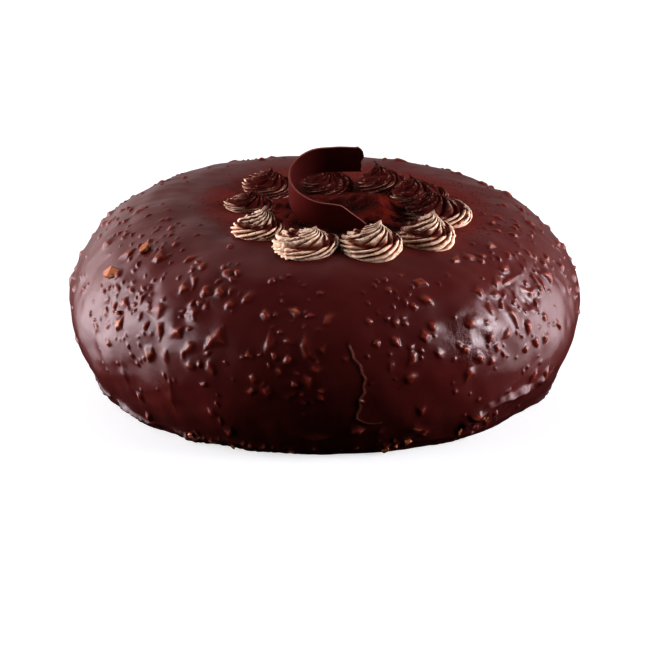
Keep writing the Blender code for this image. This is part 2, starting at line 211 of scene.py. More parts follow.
# Chips of nut with no glaze on them: degrees round the cake, how far up the side, length, width
# and thickness in millimetres, how far their middle stands out of the glaze, and their turn.
NUT_CHIPS = (
    (208.6, 1.425, 7.0, 5.4, 3.0, 1.2, 60),
    (212.6, 1.630, 4.8, 3.6, 2.6, 1.1, 80),
    (217.0, 1.250, 2.4, 1.6, 1.4, 0.5, 20),
    (237.0, 0.110, 3.2, 2.0, 1.4, 0.3, 10),
    (239.4, 0.085, 2.6, 1.6, 1.3, 0.3, 40),
    (243.0, 0.075, 3.4, 1.7, 1.4, 0.3, 5),
    (248.0, 0.055, 2.4, 1.8, 1.3, 0.3, 70),
    (262.0, 0.050, 2.2, 1.5, 1.2, 0.3, 15),
    (284.0, 0.075, 3.0, 1.9, 1.5, 0.4, 30),
    (286.5, 0.110, 2.2, 1.5, 1.3, 0.4, 85),
    (289.5, 0.150, 3.2, 1.6, 1.4, 0.4, 10),
    (302.4, 0.190, 3.8, 1.8, 1.5, 0.5, 78),
    (305.0, 0.120, 2.4, 1.7, 1.3, 0.4, 20),
    (309.5, 0.260, 2.6, 1.6, 1.3, 0.4, 50),
    (20.0, 0.090, 2.8, 1.8, 1.4, 0.3, 30),
    (95.0, 0.080, 3.0, 1.8, 1.4, 0.3, 60),
    (100.0, 1.300, 2.8, 2.0, 1.6, 0.5, 30),
    (150.0, 0.100, 2.6, 1.7, 1.3, 0.3, 15),
    (48.0, 1.420, 3.0, 1.9, 1.6, 0.5, 120),
)
CHIP_SHAPES = 5
CHIP_SEED = 40
CHIP_CUTS = 7
CHIP_CUT_PLACES = (0.30, 0.46)  # of the cube it is cut from, out from its middle
CHIP_EDGE = 0.035  # of that cube

# How the glaze lies over the nuts. Each makes a lump with a few broken sides and a slanting top,
# whose measures are shares of the nut's half length and half width.
LUMP_SIDES = (4, 8)  # at least 4 and fewer than 8
SIDE_WANDER = 0.32  # of the turn from one side to the next
SIDE_REACH = (0.70, 1.05)
SIDE_STEEPNESS = (1.2, 3.4)
TOP_SLANT = 0.34
EDGE_SOFTNESS = 0.15  # of a nut's height, over which its edges are rounded
GLAZE_FILLET = 0.28 * MM  # the size of the fillet where the glaze runs off a nut
BARE_NUTS = 0.10  # share of the nuts whose top shows through
CROWD_REACH = 4.5 * MM  # nuts nearer than this make the glaze between them uneven

# The faces of the glaze are cut in four twice: round the nuts and the crack out to the first of
# each pair, from the foot up to the second, and along the lips.
FINER_FACES = ((2.4 * MM, 6 * MM), (0.9 * MM, 3.2 * MM))
CRACK_FACES = 1.1 * MM  # a third time, this near to the crack
# Unevenness of the glaze: height, size of its lumps, seed, and the share that its top is without.
GLAZE_WAVES = ((0.36 * MM, 14 * MM, 3, 0.6), (0.12 * MM, 5 * MM, 4, 0.8))
CROWD_WAVES = 0.32 * MM
# The glaze at the foot: a ragged lip, drawn in and wrinkled below it.
FOOT_LIP_HEIGHT = 3.4 * MM
FOOT_LIP_WANDER = 1.3 * MM
FOOT_LIP_HALF_WIDTH = 1.1 * MM
FOOT_LIP_RISE = 0.75 * MM
FOOT_DRAWN_IN = 0.70 * MM
FOOT_WRINKLES = 0.35 * MM
LIP_FACES = 0.25 * MM  # faces that a lip lifts further than this are made finer

RING_CENTRE = Vector((9.3 * MM, -17.7 * MM))
# The rosettes, as in the solid: degrees round the ring, millimetres out from its centre, radius,
# height and the degrees towards which the tip leans. Then, for the looks alone: the degrees at
# which its piping starts, how rippled that start is, and how far the tip is drawn, in millimetres.
Rosette = namedtuple("Rosette", "turn out radius height lean start rippled drawn")
ROSETTES = (
    Rosette(248.3, 44.9, 12.7, 7.6, 15, 205, 1.6, 0.6),
    Rosette(281.6, 42.4, 12.1, 10.5, 10, 195, 0.7, 1.2),
    Rosette(316.0, 42.4, 11.6, 11.0, 40, 200, 0.5, 1.2),
    Rosette(356.4, 36.3, 13.5, 11.5, 150, 235, 0.5, 1.0),
    Rosette(37.9, 37.0, 11.8, 10.8, 170, 260, 0.6, 1.4),
    Rosette(70.3, 43.2, 9.8, 11.6, 200, 300, 0.5, 2.0),
    Rosette(101.4, 41.8, 10.2, 9.4, 150, 10, 0.7, 1.0),
    Rosette(133.4, 47.8, 10.6, 9.8, 300, 60, 0.5, 1.2),
    Rosette(165.6, 41.0, 10.6, 7.6, 300, 100, 0.5, 0.6),
    Rosette(217.2, 44.3, 10.3, 10.2, 30, 170, 0.8, 1.2),
)
# The side of a rosette from its foot to its tip, as shares of its radius and height.
ROSETTE_SIDE = (
    (0.93, 0.00),
    (1.00, 0.11),
    (1.00, 0.25),
    (0.94, 0.38),
    (0.82, 0.50),
    (0.68, 0.58),
    (0.57, 0.63),
    (0.48, 0.70),
    (0.36, 0.79),
    (0.23, 0.88),
    (0.10, 0.95),
    (0.00, 1.00),
)
ROSETTE_ROWS = 84
ROSETTE_EDGE = 0.4 * MM  # how far its edge may sink into the glaze
RIDGES = 11
RIDGE_COLUMNS = 12
FLUTE_SHARPNESS = 0.8  # lower makes the flutes narrower and sharper, and the ridges broader
RIDGE_WANDER = 0.35
FLUTE_DEPTH = 0.16  # of the radius
FLUTE_UNEVENNESS = 0.45  # of that depth
FLUTE_TURNS = ((0.0, 0.5, 0.7, 1.0), (0, 92, 126, 205))  # how far up, and degrees turned
FLUTE_TURN_WANDER = 0.14
TIP_LEAN = 0.30  # of the radius
COIL_START = 0.44  # of the height, where the crease between the turns begins
COIL_RISE = 0.24  # of the height, for one turn of it
COIL_HALF_WIDTH = 0.055  # of the height
COIL_CREASE = 0.07  # of the radius
PIPING_START = 0.8  # radians either side of where the piping starts, over which it is fuller
PIPING_SWELL = 0.05  # of the radius, there
PIPING_RIPPLES = 26  # radians of ripple for each radian round
RIPPLE_DEPTH = 0.025  # of the radius
CREAM_UNEVENNESS = 0.45  # millimetres
CREAM_TEARS = 0.14  # millimetres, on its ridges

MOUND_CENTRE = Vector((11.0 * MM, -20.0 * MM))
MOUND_SPREAD = 35.0 * MM
MOUND_SKIRT = 2.6 * MM
MOUND_EDGE = 1.0 * MM
MOUND_ROWS, MOUND_COLUMNS = 44, 180
MOUND_TUCK = 1.6 * MM  # how far it runs on under the rosettes
MOUND_SUNK = 0.3 * MM  # its underside lies this far in the glaze
MOUND_LEAST = 0.2 * MM  # its least thickness above the glaze
# Humps and hollows: millimetres to the right and back from the ring's centre, height, half width.
MOUND_HUMPS = (
    (13.0, 4.0, 6.6, 11.0),
    (9.0, -9.0, 2.6, 8.0),
    (-1.0, 10.0, 3.6, 6.5),
    (-14.0, 8.0, 2.4, 6.0),
    (-16.0, -6.0, 2.4, 6.0),
    (1.0, -18.0, 2.6, 5.5),
    (-8.0, 16.0, -1.8, 4.5),
    (-19.0, 15.0, 4.0, 3.2),
    (-16.5, 9.0, 2.2, 3.0),
    (-13.5, 1.0, 1.8, 3.0),
    (-3.0, -1.5, 2.4, 2.4),
    (3.5, 15.0, 2.4, 3.6),
)
NEIGHBOUR_GAP = 0.35 * MM

CURL_RADIUS = 15.2 * MM
CURL_WIDTH = 12.0 * MM
CURL_THICK = 0.70 * MM
CURL_FOOT = Vector((1.2 * MM, -43.0 * MM, 73.6 * MM))
CURL_TILT = math.radians(20)
CURL_RISE = 7.5 * MM
CURL_FRONT_ARM = 15.0 * MM
CURL_BACK_ARM = 14.0 * MM
CURL_CUT = 0.62  # of the width, that the slanting cut takes at the front end
CURL_CUT_LENGTH = 9.5 * MM
CURL_WAVER = 0.25 * MM
CURL_TEAR_LENGTH = 4 * MM
CURL_TEAR = 1.1 * MM
CURL_CORNER = 2.2 * MM  # broken off the top of the torn end
CURL_ROWS = [row / 10 for row in range(10)] + [0.95, 0.985, 1.0]  # shares of the width
CURL_ARM_STEPS, CURL_BEND_STEPS = 12, 56
CURL_EDGE = 0.14 * MM

# The sifted cocoa: its middle, and how far it reaches on the glaze, lies thick on the cream and
# lies in patches there.
COCOA_CENTRE = Vector((8.5 * MM, -8.5 * MM))
COCOA_REACH = 57 * MM
COCOA_THICK_REACH = 46 * MM
COCOA_PATCHY_REACH = 62 * MM
COCOA_GRAINS = 4200
COCOA_SEED = 5
COCOA_CROWDING = 0.6  # above 0.5, the grains lie closer to one another near the middle
COCOA_STRAYS = 0.09  # of a grain's way out from the middle
GRAIN_SIZE = (0.10 * MM, 0.30 * MM)
GRAIN_SIDES = (0.6, 1.2)
GRAIN_SLOPE = 0.45  # no grain stays where the surface looks up less than this

# The puckered patch of the glaze and the pool beside it: degrees round the cake, how far up, the
# radius that is whole and the radius where it ends.
PUCKERED_PATCH = (304, 1.24, 6 * MM, 15 * MM)
POOLED_PATCH = (324, 1.34, 6 * MM, 14 * MM)
CURL_SHADE = Vector((1 * MM, -22 * MM, 76 * MM))  # the middle of what the curl shades

# Colours, as the shader takes them; a pair where a grain runs from one to the other.
GLAZE_COLOURS = ((0.086, 0.0094, 0.0080), (0.117, 0.0134, 0.0113))
GLAZE_STREAK = (0.20, 0.022, 0.014)
GLAZE_FOOT_SHADE = (0.024, 0.0030, 0.0025)
GLAZE_THIN = (0.34, 0.060, 0.027)
GLAZE_WORN = (0.44, 0.155, 0.056)
GLAZE_BROKEN = (0.45, 0.17, 0.11)
GLAZE_DUSTED = (0.160, 0.0148, 0.0084)
CREAM_COLOURS = ((0.96, 0.70, 0.51), (1.00, 0.80, 0.62))
CREAM_FLUTE_DUST_AND_SHADE = (0.60, 0.22, 0.11)
CREAM_DEEP_FLUTE_DUST_AND_SHADE = (0.11, 0.017, 0.009)
CREAM_DUSTED = (0.078, 0.0070, 0.0038)
MOUND_COLOURS = ((0.062, 0.0056, 0.0032), (0.145, 0.0148, 0.0088))
MOUND_HOLLOW_SHADE = (0.014, 0.0018, 0.0014)
MOUND_SPECKS = (0.22, 0.029, 0.016)
MOUND_SHADED = (0.016, 0.0020, 0.0016)
CURL_COLOURS = ((0.050, 0.0055, 0.0046), (0.078, 0.0086, 0.0071))
CURL_FRONT_DUST_AND_LIGHT = (0.098, 0.0107, 0.0086)
CURL_RIM_HIGHLIGHT = (0.32, 0.115, 0.09)
NUT_COLOURS = ((0.30, 0.082, 0.028), (0.54, 0.195, 0.075))
NUT_SKIN = (0.18, 0.048, 0.022)
GRAIN_COLOURS = ((0.10, 0.0106, 0.0060), (0.21, 0.026, 0.0138))
FLOOR_COLOURS = ((0.40, 0.40, 0.40), (0.42, 0.42, 0.42))
FLOOR_FAR = (0.62, 0.62, 0.62)

# The soft boxes: place, width and height, and radiance.
SOFT_BOXES = {
    "left_box": ((-1.0, 0.24, 0.05), (1.30, 1.30), 1.6),
    "left_box_middle": ((-0.96, -0.16, 0.37), (0.94, 0.58), 2.4),
    "right_box": ((1.0, 0.22, 0.04), (1.15, 1.20), 1.6),
    "right_box_middle": ((0.94, -0.20, 0.42), (0.52, 0.60), 5.4),
}
SOFT_BOX_TINT = (1.0, 0.98, 1.04)
SOFT_BOX_LAYERS = (1.0, 0.78, 0.56, 0.36)  # shares of the box's size
SOFT_BOX_GAP = 0.01  # of the way to the cake, between one layer and the next
CAKE_MIDDLE = Vector((0, 0, 40 * MM))
FLOOR_SIZE = 8.0
PICTURE_GAMMA = 0.8  # deepens the dark tones

# The camera, fitted to the photo: its focal length in pixels, its place and what it looks at.
PHOTO_PIXELS = 650
FOCAL_PIXELS = 2888.4
FILM_WIDTH = 36.0
CAMERA_PLACE = Vector((0.0001, -1.1210, 0.4281))
CAMERA_AIM = Vector((0.0001, 0.0, 0.0195))


# ---- selecting, moving and joining -----------------------------------------------------------


def take(piece):
    """Selects this piece alone, ready for the next operator."""
    bpy.ops.object.select_all(action="DESELECT")
    piece.select_set(True)
    bpy.context.view_layer.objects.active = piece


def added(name, primitive, **settings):
    """Adds a primitive with nothing else selected, and names it and its mesh."""
    bpy.ops.object.select_all(action="DESELECT")
    primitive(**settings)
    piece = bpy.context.object
    piece.name = name
    piece.data.name = name
    return piece


def rows_of(elements, name):
    """The three numbers that each point or face holds under this name, as rows."""
    rows = np.empty(3 * len(elements), np.float32)
    elements.foreach_get(name, rows)
    return rows.reshape(-1, 3).astype(float)


def points_of(piece):
    return rows_of(piece.data.vertices, "co")


def normals_of(piece):
    return rows_of(piece.data.vertices, "normal")


def face_centres(piece):
    return rows_of(piece.data.polygons, "center")


def set_points(piece, points):
    piece.data.vertices.foreach_set("co", points.astype(np.float32).ravel())
    piece.data.update()


def mark(piece, name, values):
    """Keeps a number for each point of the piece, for its material to read."""
    kept = piece.data.attributes.new(name, "FLOAT", "POINT")
    kept.data.foreach_set("value", values.astype(np.float32))


def apply(piece, kind, **settings):
    """Adds a modifier of this kind and applies it."""
    take(piece)
    modifier = piece.modifiers.new(kind.lower(), kind)
    for name, value in settings.items():
        setattr(modifier, name, value)
    bpy.ops.object.modifier_apply(modifier=modifier.name)


def refine(piece, chosen):
    """Cuts the chosen faces in four."""
    take(piece)
    mesh = piece.data
    mesh.vertices.foreach_set("select", np.zeros(len(mesh.vertices), bool))
    mesh.edges.foreach_set("select", np.zeros(len(mesh.edges), bool))
    mesh.polygons.foreach_set("select", chosen)
    bpy.context.tool_settings.mesh_select_mode = (False, False, True)
    bpy.ops.object.mode_set(mode="EDIT")
    bpy.ops.mesh.subdivide(number_cuts=1)
    bpy.ops.object.mode_set(mode="OBJECT")
    bpy.context.tool_settings.mesh_select_mode = (True, False, False)


def draw_out(step, times=1):
    """Extrudes what is selected by this step, in edit mode."""
    for _ in range(times):
        bpy.ops.mesh.extrude_region_move(TRANSFORM_OT_translate={"value": tuple(step)})


def close_up():
    """Merges the points that meet, turns the faces outwards and leaves edit mode."""
    bpy.ops.mesh.select_all(action="SELECT")
    bpy.ops.mesh.remove_doubles(threshold=0.01 * MM)
    bpy.ops.mesh.normals_make_consistent(inside=False)
    bpy.ops.object.mode_set(mode="OBJECT")


def chain(name, places):
    """Draws a chain of edges by extruding one corner from place to place. It stays in edit mode."""
    piece = added(name, bpy.ops.mesh.primitive_plane_add, size=MM)
    bpy.ops.object.mode_set(mode="EDIT")
    bpy.ops.mesh.merge(type="CENTER")
    bpy.ops.transform.translate(value=tuple(places[0]))
    for before, after in zip(places, places[1:]):
        draw_out(np.subtract(after, before))
    return piece


def turned(name, outline, columns):
    """A round piece: its outline, as (radius, height), is drawn as a chain and spun full circle."""
    piece = chain(name, [(radius, 0.0, height) for radius, height in outline])
    bpy.ops.mesh.select_all(action="SELECT")
    bpy.ops.mesh.spin(steps=columns, angle=math.tau, center=(0, 0, 0), axis=(0, 0, 1))
    close_up()
    return piece


def drift(points, size, seed):
    """Soft unevenness, mostly between -1 and 1, with lumps of about this size."""
    draw = np.random.default_rng(seed)
    waves = 14
    total = np.zeros(len(points))
    for _ in range(waves):
        way = draw.normal(size=3)
        way *= math.pi / size * draw.uniform(0.6, 1.5) / np.linalg.norm(way)
        total += np.sin(points @ way + draw.uniform(0, math.tau))
    return total / math.sqrt(waves)


def fade(values, low, high):
    """0 below low and 1 above high, with a smooth step between them."""
    share = np.clip((values - low) / (high - low), 0, 1)
    return share * share * (3 - 2 * share)


def bell(values, half_width):
    """1 where a value is 0, and softly down to 0 on either side of that."""
    return np.exp(-((values / half_width) ** 2))


def hollows(piece, size, rounds):
    """How far each point lies under the smoothed surface round it, as a share of size: above 0 in
    a groove and below 0 on an edge."""
    points = points_of(piece)
    ends = np.empty(2 * len(piece.data.edges), np.int32)
    piece.data.edges.foreach_get("vertices", ends)
    one, other = ends.reshape(-1, 2).T
    meeting = np.bincount(ends, minlength=len(points))[:, None]
    smooth = points
    for _ in range(rounds):
        total = np.zeros_like(points)
        for axis in range(3):
            total[:, axis] += np.bincount(one, smooth[other, axis], len(points))
            total[:, axis] += np.bincount(other, smooth[one, axis], len(points))
        smooth = total / meeting
    return ((smooth - points) * normals_of(piece)).sum(1) / size


def joined(name, shapes, copies):
    """One mesh of many small pieces. Each copy is the number of its shape, a 3 by 3 matrix that
    turns and scales it, and its place."""
    points, faces, start = [], [], 0
    for number, turn, place in copies:
        shape_points, shape_faces = shapes[number]
        points.append(shape_points @ turn.T + place)
        faces += [tuple(start + corner for corner in face) for face in shape_faces]
        start += len(shape_points)
    mesh = bpy.data.meshes.new(name)
    mesh.from_pydata(np.concatenate(points).tolist(), [], faces)
    piece = bpy.data.objects.new(name, mesh)
    bpy.context.scene.collection.objects.link(piece)
    return piece


def lift_shape(piece):
    """The points and faces of a model piece, which is then put away."""
    shape = (points_of(piece), [tuple(face.vertices) for face in piece.data.polygons])
    bpy.data.objects.remove(piece)
    return shape


# ---- shader maths ----------------------------------------------------------------------------


class Value:
    """The output of a shader node. Sums and products of values add their Math nodes."""

    def __init__(self, look, socket):
        self.look = look
        self.socket = socket

    def __add__(self, other):
        return self.look.maths("ADD", self, other)

    def __sub__(self, other):
        return self.look.maths("SUBTRACT", self, other)

    def __rsub__(self, other):
        return self.look.maths("SUBTRACT", other, self)

    def __mul__(self, other):
        return self.look.maths("MULTIPLY", self, other)

    def __pow__(self, other):
        return self.look.maths("POWER", self, other)

    __radd__ = __add__
    __rmul__ = __mul__

    def above(self, low, high):
        """0 below low, 1 above high and a smooth step between."""
        settings = {"interpolation_type": "SMOOTHSTEP"}
        values = {"Value": self, "From Min": low, "From Max": high}
        return self.look.node("ShaderNodeMapRange", settings, values)


class Look:
    """A material under the hand: one Principled shader and what feeds it."""

    def __init__(self, name, **constants):
        self.material = bpy.data.materials.new(name)
        self.material.use_nodes = True
        self.tree = self.material.node_tree
        self.shader = self.tree.nodes["Principled BSDF"]
        for socket, value in constants.items():
            self.shader.inputs[socket.replace("_", " ")].default_value = value

    def put(self, socket, value):
        """Links a value to a socket, or sets it there."""
        if isinstance(value, Value):
            self.tree.links.new(value.socket, socket)
        elif isinstance(value, tuple) and len(value) == 3 and socket.type == "RGBA":
            socket.default_value = (*value, 1.0)
        else:
            socket.default_value = value

    def node(self, kind, settings, values, out=0):
        """Adds a node: its settings first, then the values or links of its sockets."""
        new = self.tree.nodes.new(kind)
        for name, setting in settings.items():
            setattr(new, name, setting)
        for name, value in values.items():
            self.put(new.inputs[name], value)
        return Value(self, new.outputs[out])

    def maths(self, operation, *values):
        return self.node("ShaderNodeMath", {"operation": operation}, dict(enumerate(values)))

    def blend(self, share, one, other):
        """A colour between two."""
        values = {0: share, 6: one, 7: other}
        return self.node("ShaderNodeMix", {"data_type": "RGBA"}, values, out=2)

    def place(self):
        return self.node("ShaderNodeTexCoord", {}, {}, out="Object")

    def apart_from(self, place):
        """How far it is from this place."""
        settings = {"operation": "DISTANCE"}
        values = {0: self.place(), 1: tuple(float(part) for part in place)}
        return self.node("ShaderNodeVectorMath", settings, values, out="Value")

    def split(self, vector):
        """The three parts of a vector."""
        first = self.node("ShaderNodeSeparateXYZ", {}, {0: vector})
        return [Value(self, output) for output in first.socket.node.outputs]

    def grain(self, size, detail=2.0, rough=0.5, stretch=(1, 1, 1)):
        """Noise whose lumps are about this size, in metres, on the piece's own place."""
        where = self.node("ShaderNodeMapping", {}, {"Vector": self.place(), "Scale": stretch})
        values = {"Vector": where, "Scale": 1 / size, "Detail": detail, "Roughness": rough}
        return self.node("ShaderNodeTexNoise", {}, values)

    def kept(self, name):
        """A number that was marked on the piece's points."""
        return self.node("ShaderNodeAttribute", {"attribute_name": name}, {}, out="Fac")

    def bump(self, height, strength, distance):
        values = {"Height": height, "Strength": strength, "Distance": distance}
        self.feed(Normal=self.node("ShaderNodeBump", {}, values))

    def feed(self, **sockets):
        for socket, value in sockets.items():
            self.put(self.shader.inputs[socket.replace("_", " ")], value)

    def cover(self, piece):
        piece.data.materials.clear()
        piece.data.materials.append(self.material)


class Room(Look):
    """The world round the cake, made with the same nodes."""

    def __init__(self, name):
        world = bpy.data.worlds.new(name)
        bpy.context.scene.world = world
        world.use_nodes = True
        self.tree = world.node_tree
        self.shader = self.tree.nodes["Background"]


# ---- the shape of the cake -------------------------------------------------------------------


def foot_wave(angle):
    """The ragged lip at the foot, as a share of FOOT_WAVE."""
    return 0.5 * np.sin(5 * angle + 0.6) + 0.3 * np.sin(13 * angle) + 0.2 * np.sin(23 * angle)


def top_height(x, y):
    """The height of the glaze at a place on top of the cake, out to its shoulder."""
    radius = np.hypot(x, y)
    beside = x / np.maximum(radius, 1e-9)
    crest_radius = CREST_RADIUS + CREST_SHIFT * beside
    slope = CREST_SLOPE * beside * np.minimum(radius / crest_radius, 1.0)
    inward = 1 - np.minimum(radius / crest_radius, 1.0)
    inside = CREST_HEIGHT - slope - MIDDLE_DIP * (1 - np.cos(math.pi * inward)) / 2
    across = np.clip((radius - crest_radius) / (WIDEST_RADIUS - crest_radius), 0, 1)
    climb = np.sin(np.arccos(across ** (SHOULDER_ACROSS / 2))) ** (2 / SHOULDER_UP)
    shoulder = WIDEST_HEIGHT + (CREST_HEIGHT - slope - WIDEST_HEIGHT) * climb
    return np.where(radius <= crest_radius, inside, shoulder)


def crest(angle):
    """How far out the crest of the glaze is on this side of the cake, and how high."""
    return CREST_RADIUS + CREST_SHIFT * np.cos(angle), CREST_HEIGHT - CREST_SLOPE * np.cos(angle)


def skin(angle, up):
    """The point of the glaze at this turn round the cake and this far up its side."""
    crest_radius, crest_height = crest(angle)
    low = np.clip(up, 0, 1)
    low_radius = FOOT_RADIUS + (WIDEST_RADIUS - FOOT_RADIUS) * (1 - (1 - low) ** SIDE_POWER)
    low_radius = low_radius + FOOT_WAVE * foot_wave(angle) * (1 - low) ** 4
    turn = np.clip(up - 1, 0, 1) * math.pi / 2
    shoulder_radius = np.cos(turn) ** (2 / SHOULDER_ACROSS) * (WIDEST_RADIUS - crest_radius)
    climb = np.sin(turn) ** (2 / SHOULDER_UP) * (crest_height - WIDEST_HEIGHT)
    top_radius = crest_radius * (3 - up)
    radius = np.where(up < 2, crest_radius + shoulder_radius, top_radius)
    radius = np.where(up < 1, low_radius, radius)
    x, y = radius * np.cos(angle), radius * np.sin(angle)
    height = np.where(up < 2, WIDEST_HEIGHT + climb, top_height(x, y))
    height = np.where(up < 1, WIDEST_HEIGHT * up, height)
    return np.stack([x, y, height], axis=-1)


def spot(degrees, up):
    """The point of the glaze at this many degrees round the cake and this far up its side."""
    return skin(math.radians(degrees), up)


def skin_normal(angle, up):
    """The way out of the glaze at that place."""
    step = 0.01
    along = skin(angle + step, up) - skin(angle - step, up)
    rise = skin(angle, up + step) - skin(angle, up - step)
    out = np.cross(along, rise)
    return out / np.maximum(np.linalg.norm(out, axis=-1, keepdims=True), 1e-12)


def way_up(points):
    """The turn round the cake and how far up its side, for points near the skin."""
    x, y, z = points.T
    angle, radius = np.arctan2(y, x), np.hypot(x, y)
    crest_radius, crest_height = crest(angle)
    across = np.clip((radius - crest_radius) / (WIDEST_RADIUS - crest_radius), 0, 1)
    climb = np.clip((z - WIDEST_HEIGHT) / (crest_height - WIDEST_HEIGHT), 0, 1)
    turn = np.arctan2(climb ** (SHOULDER_UP / 2), across ** (SHOULDER_ACROSS / 2))
    up = np.where(radius > crest_radius, 1 + turn * 2 / math.pi, 3 - radius / crest_radius)
    return angle, np.where(z < WIDEST_HEIGHT, z / WIDEST_HEIGHT, up)


def rosette_centre(rosette):
    turn, out = math.radians(rosette.turn), rosette.out * MM
    return RING_CENTRE + Vector((out * math.cos(turn), out * math.sin(turn)))


def in_the_open(point):
    """Whether a nut here stays clear of the ring of rosettes and what is inside it."""
    place = Vector(point[:2])
    if (place - RING_CENTRE).length < ROSETTES[0].out * MM and point[2] > WIDEST_HEIGHT:
        return False
    return all(
        (place - rosette_centre(rosette)).length > rosette.radius * MM + NUTS_KEEP_OUT
        for rosette in ROSETTES
    )


# ---- nuts under the glaze --------------------------------------------------------------------


def nut_places():
    """The nuts of the solid."""
    draw = random.Random(NUT_SEED)
    places = []
    for degrees, up, length, width, spin in LARGEST_NUTS:
        length *= MM
        thick = draw.uniform(*NUT_THICK)
        angle, spin = math.radians(degrees), math.radians(spin)
        places.append(Nut(angle, up, length, length * width, length * thick * width, spin))
    for middle, half, low, high, count in NUT_BEDS:
        for _ in range(count):
            for _ in range(PLACE_TRIES):
                angle = math.radians(draw.uniform(middle - half, middle + half))
                up = draw.uniform(low, high)
                length = draw.uniform(*NUT_LENGTH)
                point = skin(angle, up)
                others = np.array([skin(other.angle, other.up) for other in places])
                reaches = np.array([other.length for other in places])
                apart = np.linalg.norm(others - point, axis=1) > NUT_SPACING * (length + reaches)
                if apart.all() and in_the_open(point):
                    width, thick = draw.uniform(*NUT_WIDTH), draw.uniform(*NUT_THICK)
                    spin = draw.uniform(0, math.tau)
                    places.append(Nut(angle, up, length, length * width, length * thick, spin))
                    break
    return places


def crumb_places(nuts):
    """The crumbs, which lie between the nuts and now and then against one."""
    draw = random.Random(CRUMB_SEED)
    points = [skin(nut.angle, nut.up) for nut in nuts]
    reaches = [nut.length for nut in nuts]
    crumbs = []
    for middle, half, low, high, count in CRUMB_BEDS:
        for _ in range(count):
            angle = math.radians(draw.gauss(middle, half * CRUMB_SPREAD))
            up = draw.gauss((low + high) / 2, (high - low) / 2 * CRUMB_SPREAD)
            up = min(max(up, CRUMB_UPS[0]), CRUMB_UPS[1])
            share = draw.random() ** CRUMB_SMALLNESS
            length = CRUMB_LENGTH[0] + (CRUMB_LENGTH[1] - CRUMB_LENGTH[0]) * share
            point = skin(angle, up)
            apart = np.linalg.norm(np.array(points) - point, axis=1)
            if (apart < CRUMB_SPACING * (length + np.array(reaches))).any() or not in_the_open(point):
                continue
            width, thick = length * draw.uniform(*CRUMB_WIDTH), length * draw.uniform(*CRUMB_THICK)
            crumbs.append(Nut(angle, up, length, width, thick, draw.uniform(0, math.tau)))
            points.append(point)
            reaches.append(length)
    return crumbs


def lying_on_skin(nut):
    """The nut's place and the ways along it, across it and out of the glaze."""
    out = skin_normal(nut.angle, nut.up)
    level = np.array((-math.sin(nut.angle), math.cos(nut.angle), 0.0))
    climb = np.cross(out, level)
    along = math.cos(nut.spin) * level + math.sin(nut.spin) * climb
    return skin(nut.angle, nut.up), along, np.cross(out, along), out


def nut_relief(points, nuts):
    """How far the nuts lift the glaze at each point, and how much of a nut's bare top it is."""
    swell = np.ones(len(points))
    tops = np.zeros(len(points))
    for number, nut in enumerate(nuts):
        place, along, aside, _ = lying_on_skin(nut)
        apart = points - place
        near = np.flatnonzero((apart ** 2).sum(1) < (0.8 * nut.length + 1.4 * MM) ** 2)
        u = apart[near] @ along / (nut.length / 2)
        v = apart[near] @ aside / (nut.width / 2)
        draw = np.random.default_rng(NUT_SEED + number)
        sides = draw.integers(*LUMP_SIDES)
        turns = np.arange(sides) + draw.uniform(-SIDE_WANDER, SIDE_WANDER, sides)
        turns = turns * math.tau / sides + draw.uniform(0, math.tau)
        reaches, steeps = draw.uniform(*SIDE_REACH, sides), draw.uniform(*SIDE_STEEPNESS, sides)
        flanks = np.outer(u, np.cos(turns)) + np.outer(v, np.sin(turns))
        flanks = steeps * (reaches - flanks)
        slant = draw.normal(0, TOP_SLANT, 2)
        top = 1 + u * slant[0] + v * slant[1]
        planes = np.column_stack([flanks, top])
        lump = -EDGE_SOFTNESS * np.log(np.exp(-planes / EDGE_SOFTNESS).sum(1))
        rise = nut.thick * NUT_SHOWS
        swell[near] += np.exp(np.minimum(lump * rise / GLAZE_FILLET, 60))
        if draw.random() < BARE_NUTS and nut.length > CRUMB_LENGTH[1]:
            bare = fade(flanks.min(1) - top, 0.0, 0.45) * fade(lump, 0.5, 0.8)
            tops[near] = np.maximum(tops[near], bare)
    return GLAZE_FILLET * np.log(swell), tops


def near_nuts(centres, nuts, margin):
    """Which of these places lie on a nut or within the margin round it."""
    chosen = np.zeros(len(centres), bool)
    for nut in nuts:
        place, along, aside, _ = lying_on_skin(nut)
        apart = centres - place
        near = np.flatnonzero((apart ** 2).sum(1) < (0.6 * nut.length + 2 * margin) ** 2)
        u, v = apart[near] @ along, apart[near] @ aside
        reach = (u / (nut.length / 2 + margin)) ** 2 + (v / (nut.width / 2 + margin)) ** 2
        chosen[near[reach < 1]] = True
    return chosen


def glaze_rolls():
    """The rolls of glaze, as low nuts."""
    rolls = []
    for degrees, up, length, width, rise, spin in GLAZE_ROLLS:
        angle, spin = math.radians(degrees), math.radians(spin)
        thick = rise * MM / NUT_SHOWS
        rolls.append(Nut(angle, up, length * MM, width * MM, thick, spin))
    return rolls


def beside(points, path):
    """How far each point lies from the path, and whether to the left (1) or right (-1) of it."""
    places = [spot(degrees, up) for degrees, up in path]
    nearest, side = np.full(len(points), 1.0), np.zeros(len(points))
    for one, other in zip(places, places[1:]):
        along = other - one
        share = np.clip((points - one) @ along / (along @ along), 0, 1)
        apart = points - one - share[:, None] * along
        away = np.linalg.norm(apart, axis=1)
        left = np.sign(apart @ np.cross(along, one * (1, 1, 0)))
        side = np.where(away < nearest, left, side)
        nearest = np.minimum(away, nearest)
    return nearest, side


def rolled_lips(points):
    """How far the lips stand out of the glaze at each point."""
    swell = 0.75 + 0.5 * drift(points, 6 * MM, seed=12)
    relief = np.zeros(len(points))
    for path, rise, half_width in LIPS:
        away = beside(points, path)[0] + 0.5 * MM * drift(points, 3 * MM, seed=13)
        relief += rise * MM * swell * bell(away, half_width * MM)
    return relief


